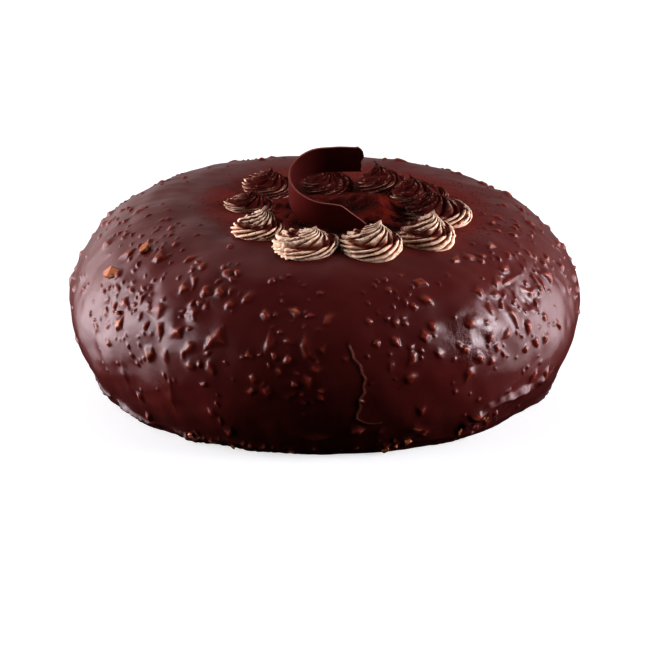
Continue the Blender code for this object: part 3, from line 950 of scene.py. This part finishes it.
def dented(points):
    """How deep the dents are at each point."""
    deep = np.zeros(len(points))
    for degrees, up, half_width, depth in DENTS:
        away = np.linalg.norm(points - spot(degrees, up), axis=1)
        deep += depth * MM * bell(away, half_width * MM)
    return deep


def crowding(points, nuts):
    """How thickly the nuts lie round each point, from 0 to 1."""
    crowd = np.zeros(len(points))
    for nut in nuts:
        apart = ((points - skin(nut.angle, nut.up)) ** 2).sum(1)
        near = np.flatnonzero(apart < (2 * CROWD_REACH) ** 2)
        crowd[near] += nut.length / MM * np.exp(-apart[near] / CROWD_REACH ** 2)
    return fade(crowd, 2.0, 14.0)


def ragged_foot(places):
    """How the glaze set at the foot: a ragged lip, drawn in and wrinkled below it."""
    height = places[:, 2]
    around = places * (1, 1, 0)
    lip_height = FOOT_LIP_HEIGHT + FOOT_LIP_WANDER * drift(around, 16 * MM, seed=5)
    swell = 0.55 + 0.45 * drift(around, 24 * MM, seed=6)
    lip = bell(height - lip_height, FOOT_LIP_HALF_WIDTH) * swell
    under = 1 - fade(height, lip_height - 1.6 * MM, lip_height)
    wrinkles = np.abs(drift(around, 2.6 * MM, seed=7)) * (1 - fade(height, 1.5 * MM, 6 * MM))
    return FOOT_LIP_RISE * lip - FOOT_DRAWN_IN * under + FOOT_WRINKLES * wrinkles * swell


def crack_relief(places):
    """How far the glaze stands out along the crack, and how much of its raised edge it is."""
    away, side = beside(places, CRACK)
    edge = bell(away, CRACK_EDGE)
    step = np.where(side > 0, *CRACK_STEP) * np.exp(-away / CRACK_STEP_REACH)
    return step + CRACK_EDGE_RISE * edge, edge


def cut_finer(glaze, nuts):
    """Gives the glaze finer faces over the nuts, at the foot, along the lips and at the crack."""
    for margin, foot in FINER_FACES:
        centres = face_centres(glaze)
        at_foot = (centres[:, 2] < foot) & (centres[:, 2] > 0.05 * MM)
        at_crack = beside(centres, CRACK)[0] < margin
        at_lip = rolled_lips(centres) > LIP_FACES
        refine(glaze, near_nuts(centres, nuts, margin) | at_foot | at_crack | at_lip)
    refine(glaze, beside(face_centres(glaze), CRACK)[0] < CRACK_FACES)


def glaze_shell(nuts):
    """The glaze: turned to the cake's outline, cut finer, and then raised over the nuts."""
    ups = [row / LOWER_ROWS for row in range(LOWER_ROWS)]
    ups += [1 + row / SHOULDER_ROWS for row in range(SHOULDER_ROWS)]
    ups += [2 + row / TOP_ROWS for row in range(TOP_ROWS)]
    side = [spot(-90, up) for up in ups]
    outline = [(0.0, 0.0), (0.5 * FOOT_RADIUS, 0.0), (0.95 * FOOT_RADIUS, 0.0)]
    outline += [(math.hypot(x, y), z) for x, y, z in side] + [(0.0, float(top_height(0, 0)))]
    glaze = turned("chocolate_glaze", outline, GLAZE_COLUMNS)

    cut_finer(glaze, nuts)

    points = points_of(glaze)
    underside = (points[:, 2] < 0.01 * MM) & (np.hypot(*points.T[:2]) < 0.97 * FOOT_RADIUS)
    angle, up = way_up(points)
    places, out = skin(angle, up), skin_normal(angle, up)
    relief, tops = nut_relief(places, nuts)
    lifted = fade(relief, 0.30 * MM, 0.7 * MM)
    on_top = fade(up, 1.9, 2.1)
    for height, size, seed, calm in GLAZE_WAVES:
        relief += height * drift(places, size, seed) * (1 - calm * on_top)
    relief += CROWD_WAVES * drift(places, 5.5 * MM, seed=9) * crowding(places, nuts)
    relief += ragged_foot(places) + rolled_lips(places) - dented(places)
    cracked, edge = crack_relief(places)
    moved = places + out * (relief + cracked)[:, None]
    moved[:, 2] = np.maximum(moved[:, 2], 0.0)
    set_points(glaze, np.where(underside[:, None], points, moved))
    glaze.data.shade_smooth()
    sharp = np.clip(-hollows(glaze, 0.09 * MM, 3) - 0.35, 0, 1)
    mark(glaze, "thin_glaze", sharp * lifted)
    mark(glaze, "bare_nut", tops)
    mark(glaze, "crack", edge)
    return glaze


def chip_shape(number):
    """A chip of nut: a cube cut down by slanting planes."""
    draw = np.random.default_rng(CHIP_SEED + number)
    chip = added("chip", bpy.ops.mesh.primitive_cube_add, size=1.0)
    bpy.ops.object.mode_set(mode="EDIT")
    for _ in range(CHIP_CUTS):
        way = draw.normal(size=3)
        way /= np.linalg.norm(way)
        at = tuple(way * draw.uniform(*CHIP_CUT_PLACES))
        bpy.ops.mesh.select_all(action="SELECT")
        bpy.ops.mesh.bisect(plane_co=at, plane_no=tuple(way), use_fill=True, clear_outer=True)
    bpy.ops.mesh.select_all(action="SELECT")
    bpy.ops.mesh.normals_make_consistent(inside=False)
    bpy.ops.object.mode_set(mode="OBJECT")
    apply(chip, "BEVEL", width=CHIP_EDGE, segments=2, limit_method="ANGLE")
    return lift_shape(chip)


def nut_chips():
    """The chips of nut that show bare, stuck in the glaze."""
    shapes = [chip_shape(number) for number in range(CHIP_SHAPES)]
    copies = []
    for number, (degrees, up, length, width, thick, proud, spin) in enumerate(NUT_CHIPS):
        nut = Nut(math.radians(degrees), up, length, width, thick, math.radians(spin))
        place, along, aside, out = lying_on_skin(nut)
        turn = np.column_stack([along * length, aside * width, out * thick]) * MM
        copies.append((number % len(shapes), turn, place + out * proud * MM))
    return joined("hazelnut_chips", shapes, copies)


# ---- cream -----------------------------------------------------------------------------------


def rosette_outline(radius, height):
    """The rosette's side as a smooth row of (radius, height) from under its foot to its tip."""
    wide, high = np.array(ROSETTE_SIDE).T
    along = np.linspace(0, len(wide) - 1, ROSETTE_ROWS)
    wide = np.interp(along, np.arange(len(wide)), wide)
    high = np.interp(along, np.arange(len(high)), high)
    soft = np.hanning(9)[1:-1] / np.hanning(9).sum()
    for row in (wide, high):
        row[3:-3] = np.convolve(row, soft, "valid")
    side = list(zip((wide * radius).tolist(), (high * height).tolist()))
    return [(0.0, -MM), (0.93 * radius, -MM)] + side


def coil_crease(up, angle, start):
    """How far each point lies above the crease where one turn of the cream lies on the last, and
    how deep that crease is."""
    round_coil = ((angle - start) / math.tau) % 1.0
    from_crease = (up - COIL_START - COIL_RISE * round_coil) / COIL_HALF_WIDTH
    return from_crease, bell(from_crease, 1.0) * fade(round_coil, 0.0, 0.12)


def piping_start(up, angle, start, rippled):
    """How near each point is to where the piping starts, and the ripples that it has there."""
    from_start = np.abs((angle - start + math.pi) % math.tau - math.pi)
    begun = bell(from_start, PIPING_START) * (1 - fade(up, 0.35, 0.8))
    return begun, rippled * begun * np.sin(from_start * PIPING_RIPPLES + 5 * up)


def piped_rosette(number, rosette):
    """A star-tipped swirl: turned, then given flutes that wind up to the tip, a crease between its
    turns, and a tip that leans."""
    radius, height, drawn = rosette.radius * MM, rosette.height * MM, rosette.drawn * MM
    lean, start = math.radians(rosette.lean), math.radians(rosette.start)
    outline = rosette_outline(radius, height)
    rose = turned(f"cream_swirl_{number:02d}", outline, RIDGE_COLUMNS * RIDGES)
    x, y, z = points_of(rose).T
    up = np.clip(z / height, 0, 1)
    angle, reach = np.arctan2(y, x), np.hypot(x, y)
    out_x, out_y, rise = normals_of(rose).T
    out = out_x * np.cos(angle) + out_y * np.sin(angle)

    seed = 100 * number
    ring = np.column_stack([np.cos(angle), np.sin(angle), up * 2]) * radius
    wander = RIDGE_WANDER * drift(ring, 14 * MM, seed)
    groove = 1 - np.abs(np.cos(angle * RIDGES / 2 + wander)) ** FLUTE_SHARPNESS
    off_the_foot = fade(up, -0.02, 0.10)
    deep = FLUTE_DEPTH * np.sqrt(reach / radius) * off_the_foot
    deep *= 1 + FLUTE_UNEVENNESS * drift(ring, 7 * MM, seed + 1)
    turns = np.interp(up, FLUTE_TURNS[0], np.radians(FLUTE_TURNS[1]))
    angle = angle + turns + FLUTE_TURN_WANDER * drift(ring, 16 * MM, seed + 2)
    from_crease, crease = coil_crease(up, angle, start)
    begun, ripples = piping_start(up, angle, start, rosette.rippled)
    place = np.column_stack([reach * np.cos(angle), reach * np.sin(angle), z])
    torn = drift(place, 1.4 * MM, seed + 3) * (1 - groove)
    sunk = deep * groove + COIL_CREASE * crease - PIPING_SWELL * begun - RIPPLE_DEPTH * ripples
    uneven = CREAM_UNEVENNESS * drift(place, 8 * MM, seed + 4) + CREAM_TEARS * torn
    sunk = radius * sunk - uneven * MM * fade(up, 0, 0.1)
    reach = np.maximum(reach - out * sunk, 0)
    z = np.where(z > 0, z - rise * sunk, z) + drawn * fade(up, 0.90, 1.0) ** 2

    centre = rosette_centre(rosette)
    shift = TIP_LEAN * radius * up ** 2 + 0.5 * drawn * fade(up, 0.95, 1.0)
    x = centre.x + reach * np.cos(angle) + shift * math.cos(lean)
    y = centre.y + reach * np.sin(angle) + shift * math.sin(lean)
    ground = top_height(x, y)
    middle = float(top_height(centre.x, centre.y))
    z = z + ground * (1 - up) + middle * up
    set_points(rose, np.column_stack([x, y, np.maximum(z, ground - ROSETTE_EDGE)]))
    rose.data.shade_smooth()
    groove = groove * off_the_foot * np.sqrt(reach / radius)
    groove *= 1 - 0.75 * min(rosette.rippled, 1.0) * begun
    mark(rose, "groove", np.maximum(groove, 0.9 * crease))
    mark(rose, "cap", fade(from_crease, -2.0, 1.0))
    return rose


def mound_reach(angle):
    """How far the cream spreads that way before it meets a rosette."""
    way = Vector((math.cos(angle), math.sin(angle)))
    furthest = MOUND_SPREAD
    for rosette in ROSETTES:
        to_rosette = rosette_centre(rosette) - MOUND_CENTRE
        along = to_rosette.dot(way)
        aside = to_rosette.length_squared - along ** 2
        half_chord = (rosette.radius * MM + NEIGHBOUR_GAP) ** 2 - aside
        if along > 0 and half_chord > 0:
            furthest = min(furthest, along - math.sqrt(half_chord))
    return furthest


def mound_thickness(x, y, share):
    """The thickness of the cream at a place, share of the way out to its edge."""
    thick = MOUND_EDGE + MOUND_SKIRT * (1 - share ** 3)
    for right, back, height, half_width in MOUND_HUMPS:
        hump = RING_CENTRE + Vector((right, back)) * MM
        apart = np.hypot(x - hump.x, y - hump.y) / (half_width * MM)
        thick = thick + height * MM * np.exp(-(apart ** 2.4)) * (1 - share ** 3)
    return thick


def cream_mound():
    """The heap of cream in the ring: a turned disc, spread to the rosettes and heaped up."""
    outline = [(MOUND_SPREAD * row / MOUND_ROWS, 0.0) for row in range(MOUND_ROWS, -1, -1)]
    outline = [(0.0, -MM), (MOUND_SPREAD, -MM)] + outline
    mound = turned("dusted_mound", outline, MOUND_COLUMNS)
    points = points_of(mound)
    angle = np.arctan2(points[:, 1], points[:, 0])
    share = np.hypot(points[:, 0], points[:, 1]) / MOUND_SPREAD
    reach = np.array([mound_reach(turn) for turn in angle]) + MOUND_TUCK
    x = MOUND_CENTRE.x + reach * share * np.cos(angle)
    y = MOUND_CENTRE.y + reach * share * np.sin(angle)
    top = points[:, 2] > -0.5 * MM
    thick = mound_thickness(x, y, share)
    flat = np.column_stack([x, y, np.zeros(len(x))])
    folds = 0.6 - 1.5 * np.abs(drift(flat, 10 * MM, seed=11))
    folds += 0.22 * drift(flat, 2.6 * MM, seed=12)
    thick += folds * MM * (1 - share ** 8)
    ground = top_height(x, y)
    z = np.where(top, ground + np.maximum(thick, MOUND_LEAST), ground - MOUND_SUNK)
    set_points(mound, np.column_stack([x, y, z]))
    mound.data.shade_smooth()
    mark(mound, "groove", hollows(mound, 0.16 * MM, 6))
    return mound


# ---- the chocolate curl ----------------------------------------------------------------------


def chocolate_curl():
    """A strip drawn up, pulled along the front arm, spun round the left and pulled along the back
    arm, then given its cut end, its torn end and its thickness, and leant forward."""
    up_the_strip = [(CURL_FRONT_ARM, -CURL_RADIUS, CURL_WIDTH * share) for share in CURL_ROWS]
    curl = chain("shaved_curl", up_the_strip)
    bpy.ops.mesh.select_all(action="SELECT")
    draw_out((-CURL_FRONT_ARM / CURL_ARM_STEPS, 0, 0), CURL_ARM_STEPS)
    bpy.ops.mesh.spin(steps=CURL_BEND_STEPS, angle=math.pi, center=(0, 0, 0), axis=(0, 0, 1))
    draw_out((CURL_BACK_ARM / CURL_ARM_STEPS, 0, 0), CURL_ARM_STEPS)
    close_up()

    x, y, z = points_of(curl).T
    bend = math.pi * CURL_RADIUS
    round_left = (-math.pi / 2 - np.arctan2(y, np.minimum(x, 0))) % math.tau * CURL_RADIUS
    along = np.where(y < 0, CURL_FRONT_ARM - x, CURL_FRONT_ARM + bend + x)
    along = np.where(x < 0, CURL_FRONT_ARM + round_left, along)
    total = CURL_FRONT_ARM + bend + CURL_BACK_ARM
    share = z / CURL_WIDTH
    width = CURL_WIDTH * (1 - CURL_CUT * np.clip(1 - along / CURL_CUT_LENGTH, 0, 1))
    level = along * 0
    uneven = CURL_WAVER * drift(np.column_stack([along, level, level]), 5 * MM, seed=8)
    z = share * (width + uneven) + CURL_RISE * np.sin(math.pi / 2 * along / total)
    torn = fade(along, total - CURL_TEAR_LENGTH, total)
    up_the_end = np.column_stack([share, level, level]) * CURL_WIDTH
    ragged = CURL_TEAR * drift(up_the_end, 2.2 * MM, seed=9)
    x = x + torn * (ragged - CURL_CORNER * fade(share, 0.72, 1.0))
    set_points(curl, np.column_stack([x, y, z]))
    mark(curl, "rim", fade(share, CURL_ROWS[-2], 1.0))
    apply(curl, "SOLIDIFY", thickness=CURL_THICK, offset=0.0)
    apply(curl, "BEVEL", width=CURL_EDGE, segments=2, limit_method="ANGLE")

    cos, sin = math.cos(CURL_TILT), math.sin(CURL_TILT)
    leaning = np.array(((1, 0, 0), (0, cos, -sin), (0, sin, cos)))
    foot = np.array((0, -CURL_RADIUS * cos, -CURL_RADIUS * sin))
    set_points(curl, points_of(curl) @ leaning.T + np.array(CURL_FOOT) - foot)
    curl.data.shade_smooth()
    return curl


# ---- cocoa -----------------------------------------------------------------------------------


def cocoa_grains(pieces):
    """Grains of cocoa, sifted straight down on to the pieces."""
    grain = added("grain", bpy.ops.mesh.primitive_ico_sphere_add, subdivisions=1, radius=1.0)
    shape = lift_shape(grain)
    graph = bpy.context.evaluated_depsgraph_get()
    trees = [BVHTree.FromObject(piece, graph) for piece in pieces]
    draw = random.Random(COCOA_SEED)
    copies = []
    while len(copies) < COCOA_GRAINS:
        turn = draw.uniform(0, math.tau)
        out = COCOA_REACH * draw.random() ** COCOA_CROWDING * (1 + draw.gauss(0, COCOA_STRAYS))
        above = Vector((*(COCOA_CENTRE + Vector((math.cos(turn), math.sin(turn))) * out), 0.2))
        hits = [tree.ray_cast(above, Vector((0, 0, -1))) for tree in trees]
        place, facing = max((hit[:2] for hit in hits if hit[0]), key=lambda hit: hit[0].z)
        if facing.z > GRAIN_SLOPE:
            size = draw.uniform(*GRAIN_SIZE)
            sizes = [size * draw.uniform(*GRAIN_SIDES) for _ in range(3)]
            lying = Vector((0, 0, 1)).rotation_difference(facing).to_matrix()
            copies.append((0, np.array(lying) @ np.diag(sizes), np.array(place)))
    return joined("cocoa_grains", [shape], copies)


# ---- finishes --------------------------------------------------------------------------------


def cocoa_share(look, reach, blur, low_slope, high_slope):
    """How thickly the sifted cocoa lies, all over within its reach and in specks where it ends,
    where the surface looks up. Also how far it looks up."""
    x, y, _ = look.split(look.place())
    aside, back = x - COCOA_CENTRE.x, y - COCOA_CENTRE.y
    distance = (aside * aside + back * back) ** 0.5
    specks = look.grain(0.7 * MM, 2.0, 0.6)
    clouds = look.grain(9 * MM, 2.0, 0.5)
    spread = distance + (clouds - 0.5) * (14 * MM) + (specks - 0.5) * blur
    _, _, facing_up = look.split(look.node("ShaderNodeNewGeometry", {}, {}, out="Normal"))
    slope = facing_up + (specks - 0.5) * 0.5
    lying = slope.above(low_slope, high_slope)
    return (1 - spread.above(reach - blur, reach + blur)) * lying, facing_up


def within(look, patch):
    """1 inside a patch of the glaze, and softly down to 0 outside."""
    degrees, up, whole, end = patch
    return 1 - look.apart_from(spot(degrees, up)).above(whole, end)


def glaze_look():
    look = Look("chocolate_glaze_look", Coat_Roughness=0.10, IOR=1.32)
    patches = look.grain(38 * MM, 3.0, 0.55)
    streaks = look.grain(6 * MM, 2.0, 0.5, stretch=(1, 1, 0.12))
    _, _, rise = look.split(look.place())
    low = 1 - rise.above(14 * MM, 34 * MM)
    foot = 1 - rise.above(0, 26 * MM)
    colour = look.blend(patches, *GLAZE_COLOURS)
    colour = look.blend(streaks.above(0.45, 0.75) * low * 0.4, colour, GLAZE_STREAK)
    # Painted shade: the glaze is darker towards the foot.
    colour = look.blend(foot * 0.65, colour, GLAZE_FOOT_SHADE)
    colour = look.blend(look.kept("thin_glaze") * 0.6, colour, GLAZE_THIN)
    colour = look.blend(look.kept("bare_nut") * 0.85, colour, GLAZE_WORN)
    colour = look.blend(look.kept("crack") * 0.75, colour, GLAZE_BROKEN)
    cocoa, facing_up = cocoa_share(look, COCOA_REACH, 8 * MM, 0.55, 0.9)
    colour = look.blend(cocoa * 0.92, colour, GLAZE_DUSTED)
    smear = look.grain(11 * MM, 3.0, 0.6)
    level = facing_up.above(0.8, 1.0)
    rough = 0.20 + smear * 0.24 + level * 0.15 + cocoa * 0.45
    puckered, pooled = within(look, PUCKERED_PATCH), within(look, POOLED_PATCH)
    shine = (0.20 + puckered * 0.30 + pooled * 0.15) * (1 - cocoa) * (1 - level * 0.8)
    look.feed(Base_Color=colour, Roughness=rough - puckered * 0.10, Coat_Weight=shine)
    fine = look.grain(1.6 * MM, 3.0, 0.55)
    ripples = look.grain(5.0 * MM, 2.0, 0.5)
    puckers = look.grain(1.7 * MM, 4.0, 0.7) * puckered
    height = fine * 0.35 + ripples + puckers * 6.0 + streaks * low * 0.9
    look.bump(height, 0.35, 0.32 * MM)
    return look


def cream_look():
    look = Look("hazelnut_cream_look", IOR=1.38, Specular_IOR_Level=0.2)
    groove = look.kept("groove")
    patches = look.grain(3.5 * MM, 2.0, 0.5)
    colour = look.blend(patches, *CREAM_COLOURS)
    # The flutes are darker deeper in: partly cocoa caught in them and partly painted shade.
    colour = look.blend(groove.above(0.12, 0.40), colour, CREAM_FLUTE_DUST_AND_SHADE)
    colour = look.blend(groove.above(0.34, 0.70), colour, CREAM_DEEP_FLUTE_DUST_AND_SHADE)
    inside, _ = cocoa_share(look, COCOA_THICK_REACH, 5 * MM, -0.6, -0.1)
    # Painted highlight: paler specks on the flute crests, where less cocoa lies.
    crest_highlight = (1 - groove.above(0.0, 0.15)) * look.grain(1.1 * MM, 2.0, 0.5).above(0.50, 0.64)
    inside = inside * (1 - crest_highlight * 0.22)
    partly, _ = cocoa_share(look, COCOA_PATCHY_REACH, 7 * MM, -0.2, 0.60)
    patchy = look.grain(2.8 * MM, 3.0, 0.6).above(0.44, 0.56) * 0.65
    specks = look.grain(0.8 * MM, 1.0, 0.5).above(0.63, 0.69) * 0.55
    cap = look.kept("cap") * (groove.above(0.05, 0.30) * 0.7 + 0.15)
    sunk = groove.above(0.0, 0.25)
    caught = (sunk * 0.2 + patchy * (sunk * 0.6 + 0.4) + cap).above(0.0, 1.0)
    cocoa = inside + (1 - inside) * partly * caught
    cocoa = cocoa + (1 - cocoa) * specks
    colour = look.blend(cocoa, colour, CREAM_DUSTED)
    look.feed(Base_Color=colour, Roughness=0.45 + cocoa * 0.45)
    look.bump(look.grain(0.5 * MM, 3.0, 0.6), 0.5, 0.12 * MM)
    return look


def mound_look():
    look = Look("cocoa_dusted_look", Roughness=0.95, IOR=1.3, Specular_IOR_Level=0.1)
    patches = look.grain(5 * MM, 3.0, 0.6)
    specks = look.grain(0.6 * MM, 2.0, 0.6)
    colour = look.blend(patches.above(0.35, 0.65), *MOUND_COLOURS)
    # Painted shade: the hollows of the cream are darker.
    colour = look.blend(look.kept("groove").above(0.15, 1.0), colour, MOUND_HOLLOW_SHADE)
    colour = look.blend(specks.above(0.55, 0.75) * 0.5, colour, MOUND_SPECKS)
    under_curl = 1 - look.apart_from(CURL_SHADE).above(10 * MM, 22 * MM)
    colour = look.blend(under_curl * 0.8, colour, MOUND_SHADED)
    look.feed(Base_Color=colour)
    look.bump(specks, 0.7, 0.30 * MM)
    return look


def curl_look():
    look = Look("curl_chocolate_look", IOR=1.33, Specular_IOR_Level=0.12)
    streaks = look.grain(7 * MM, 2.0, 0.5, stretch=(1, 1, 5))
    colour = look.blend(streaks, *CURL_COLOURS)
    _, back, _ = look.split(look.place())
    # The front arm is lighter than the rest: partly a dusting of cocoa and partly painted light, with
    # the back lying in shade.
    colour = look.blend(back.above(-45 * MM, -25 * MM), CURL_FRONT_DUST_AND_LIGHT, colour)
    # Painted highlight: a pale line along the top edge.
    colour = look.blend(look.kept("rim") * 0.7, colour, CURL_RIM_HIGHLIGHT)
    look.feed(Base_Color=colour, Roughness=0.42 + streaks * 0.15)
    look.bump(streaks, 0.15, 0.2 * MM)
    return look


def nut_look():
    look = Look("bare_hazelnut_look", Roughness=0.45, IOR=1.4)
    colour = look.blend(look.grain(1.4 * MM, 3.0, 0.6), *NUT_COLOURS)
    skin_left = look.grain(2.6 * MM, 2.0, 0.5).above(0.60, 0.68)
    look.feed(Base_Color=look.blend(skin_left, colour, NUT_SKIN))
    look.bump(look.grain(0.5 * MM, 3.0, 0.6), 0.4, 0.1 * MM)
    return look


def grain_look():
    look = Look("cocoa_powder_look", Roughness=0.95, Specular_IOR_Level=0.2)
    look.feed(Base_Color=look.blend(look.grain(2 * MM), *GRAIN_COLOURS))
    return look


def floor_look():
    look = Look("pale_floor_look", Roughness=0.9, Emission_Strength=1.65)
    colour = look.blend(look.grain(1.2, 1.0, 0.4), *FLOOR_COLOURS)
    far = look.apart_from((0, 0, 0)).above(0.6, 1.5)
    look.feed(Base_Color=colour, Emission_Color=look.blend(far, colour, FLOOR_FAR))
    return look


# ---- floor, light and camera -----------------------------------------------------------------


def pale_floor():
    floor = added("pale_floor", bpy.ops.mesh.primitive_plane_add, size=FLOOR_SIZE)
    floor.visible_glossy = False
    floor.visible_diffuse = False
    floor.visible_shadow = False
    floor_look().cover(floor)


def soft_box(name, place, size, radiance):
    """A soft light turned to the middle of the cake. It is brighter inwards: lights of this
    brightness, each smaller than the last, lie on one another."""
    to_cake = CAKE_MIDDLE - Vector(place)
    for number, share in enumerate(SOFT_BOX_LAYERS):
        light = bpy.data.lights.new(f"{name}_{number}", "AREA")
        light.shape = "RECTANGLE"
        light.size, light.size_y = size[0] * share, size[1] * share
        light.color = SOFT_BOX_TINT
        light.energy = radiance * math.pi * light.size * light.size_y
        box = bpy.data.objects.new(f"{name}_{number}", light)
        bpy.context.scene.collection.objects.link(box)
        box.location = Vector(place) + to_cake * SOFT_BOX_GAP * number
        box.rotation_euler = to_cake.to_track_quat("-Z", "Y").to_euler()
        box.visible_camera = False


def studio():
    """A soft box on either side, with a brighter middle, in a room that is dark in front and
    below, and white to the camera."""
    for name, (place, size, radiance) in SOFT_BOXES.items():
        soft_box(name, place, size, radiance)
    room = Room("studio_room")
    right, back, over = room.split(room.node("ShaderNodeTexCoord", {}, {}, out="Generated"))
    glow = back.above(-0.25, 0.75) * over.above(-0.35, 0.05) * (1 - right.above(-0.5, 0.4) * 0.7)
    glow = glow * 1.15 + over.above(0.45, 1.0) * 0.08 + 0.006
    seen = room.node("ShaderNodeLightPath", {}, {}, out="Is Camera Ray")
    room.feed(Color=(1.0, 1.0, 1.0), Strength=seen + (1 - seen) * glow)


def photo_camera():
    lens = bpy.data.cameras.new("camera")
    lens.sensor_width = FILM_WIDTH
    lens.lens = FILM_WIDTH * FOCAL_PIXELS / PHOTO_PIXELS
    lens.clip_start, lens.clip_end = 0.05, 50.0
    camera = bpy.data.objects.new("camera", lens)
    bpy.context.scene.collection.objects.link(camera)
    camera.location = CAMERA_PLACE
    camera.rotation_euler = (CAMERA_AIM - CAMERA_PLACE).to_track_quat("-Z", "Y").to_euler()
    bpy.context.scene.camera = camera


# ---- putting it together ---------------------------------------------------------------------


def keep(piece, look, slot, *nodes):
    """Gives a finished piece its look and its body, and hides the solids that it stands for. The slot
    is not used.
    """
    look.cover(piece)
    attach(piece, "root")
    if nodes:
        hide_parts(*nodes)


def main():
    pale_floor()
    studio()
    photo_camera()

    nuts = nut_places()
    pieces = [glaze_shell(nuts + crumb_places(nuts) + glaze_rolls())]
    keep(pieces[0], glaze_look(), "chocolate_glaze", "cake_body")
    cream = cream_look()
    for number, rosette in enumerate(ROSETTES, 1):
        node = f"cream_rosette_{number:02d}"
        pieces.append(piped_rosette(number, rosette))
        keep(pieces[-1], cream, "hazelnut_cream", node)
    pieces.append(cream_mound())
    keep(pieces[-1], mound_look(), "cocoa_dusted_cream", "cream_mound")
    keep(cocoa_grains(pieces), grain_look(), "cocoa_powder")
    keep(nut_chips(), nut_look(), "chopped_hazelnut")
    keep(chocolate_curl(), curl_look(), "curl_chocolate", "chocolate_curl")

    bpy.context.scene.view_settings.view_transform = "Standard"
    bpy.context.scene.view_settings.gamma = PICTURE_GAMMA
    bpy.context.view_layer.update()


main()
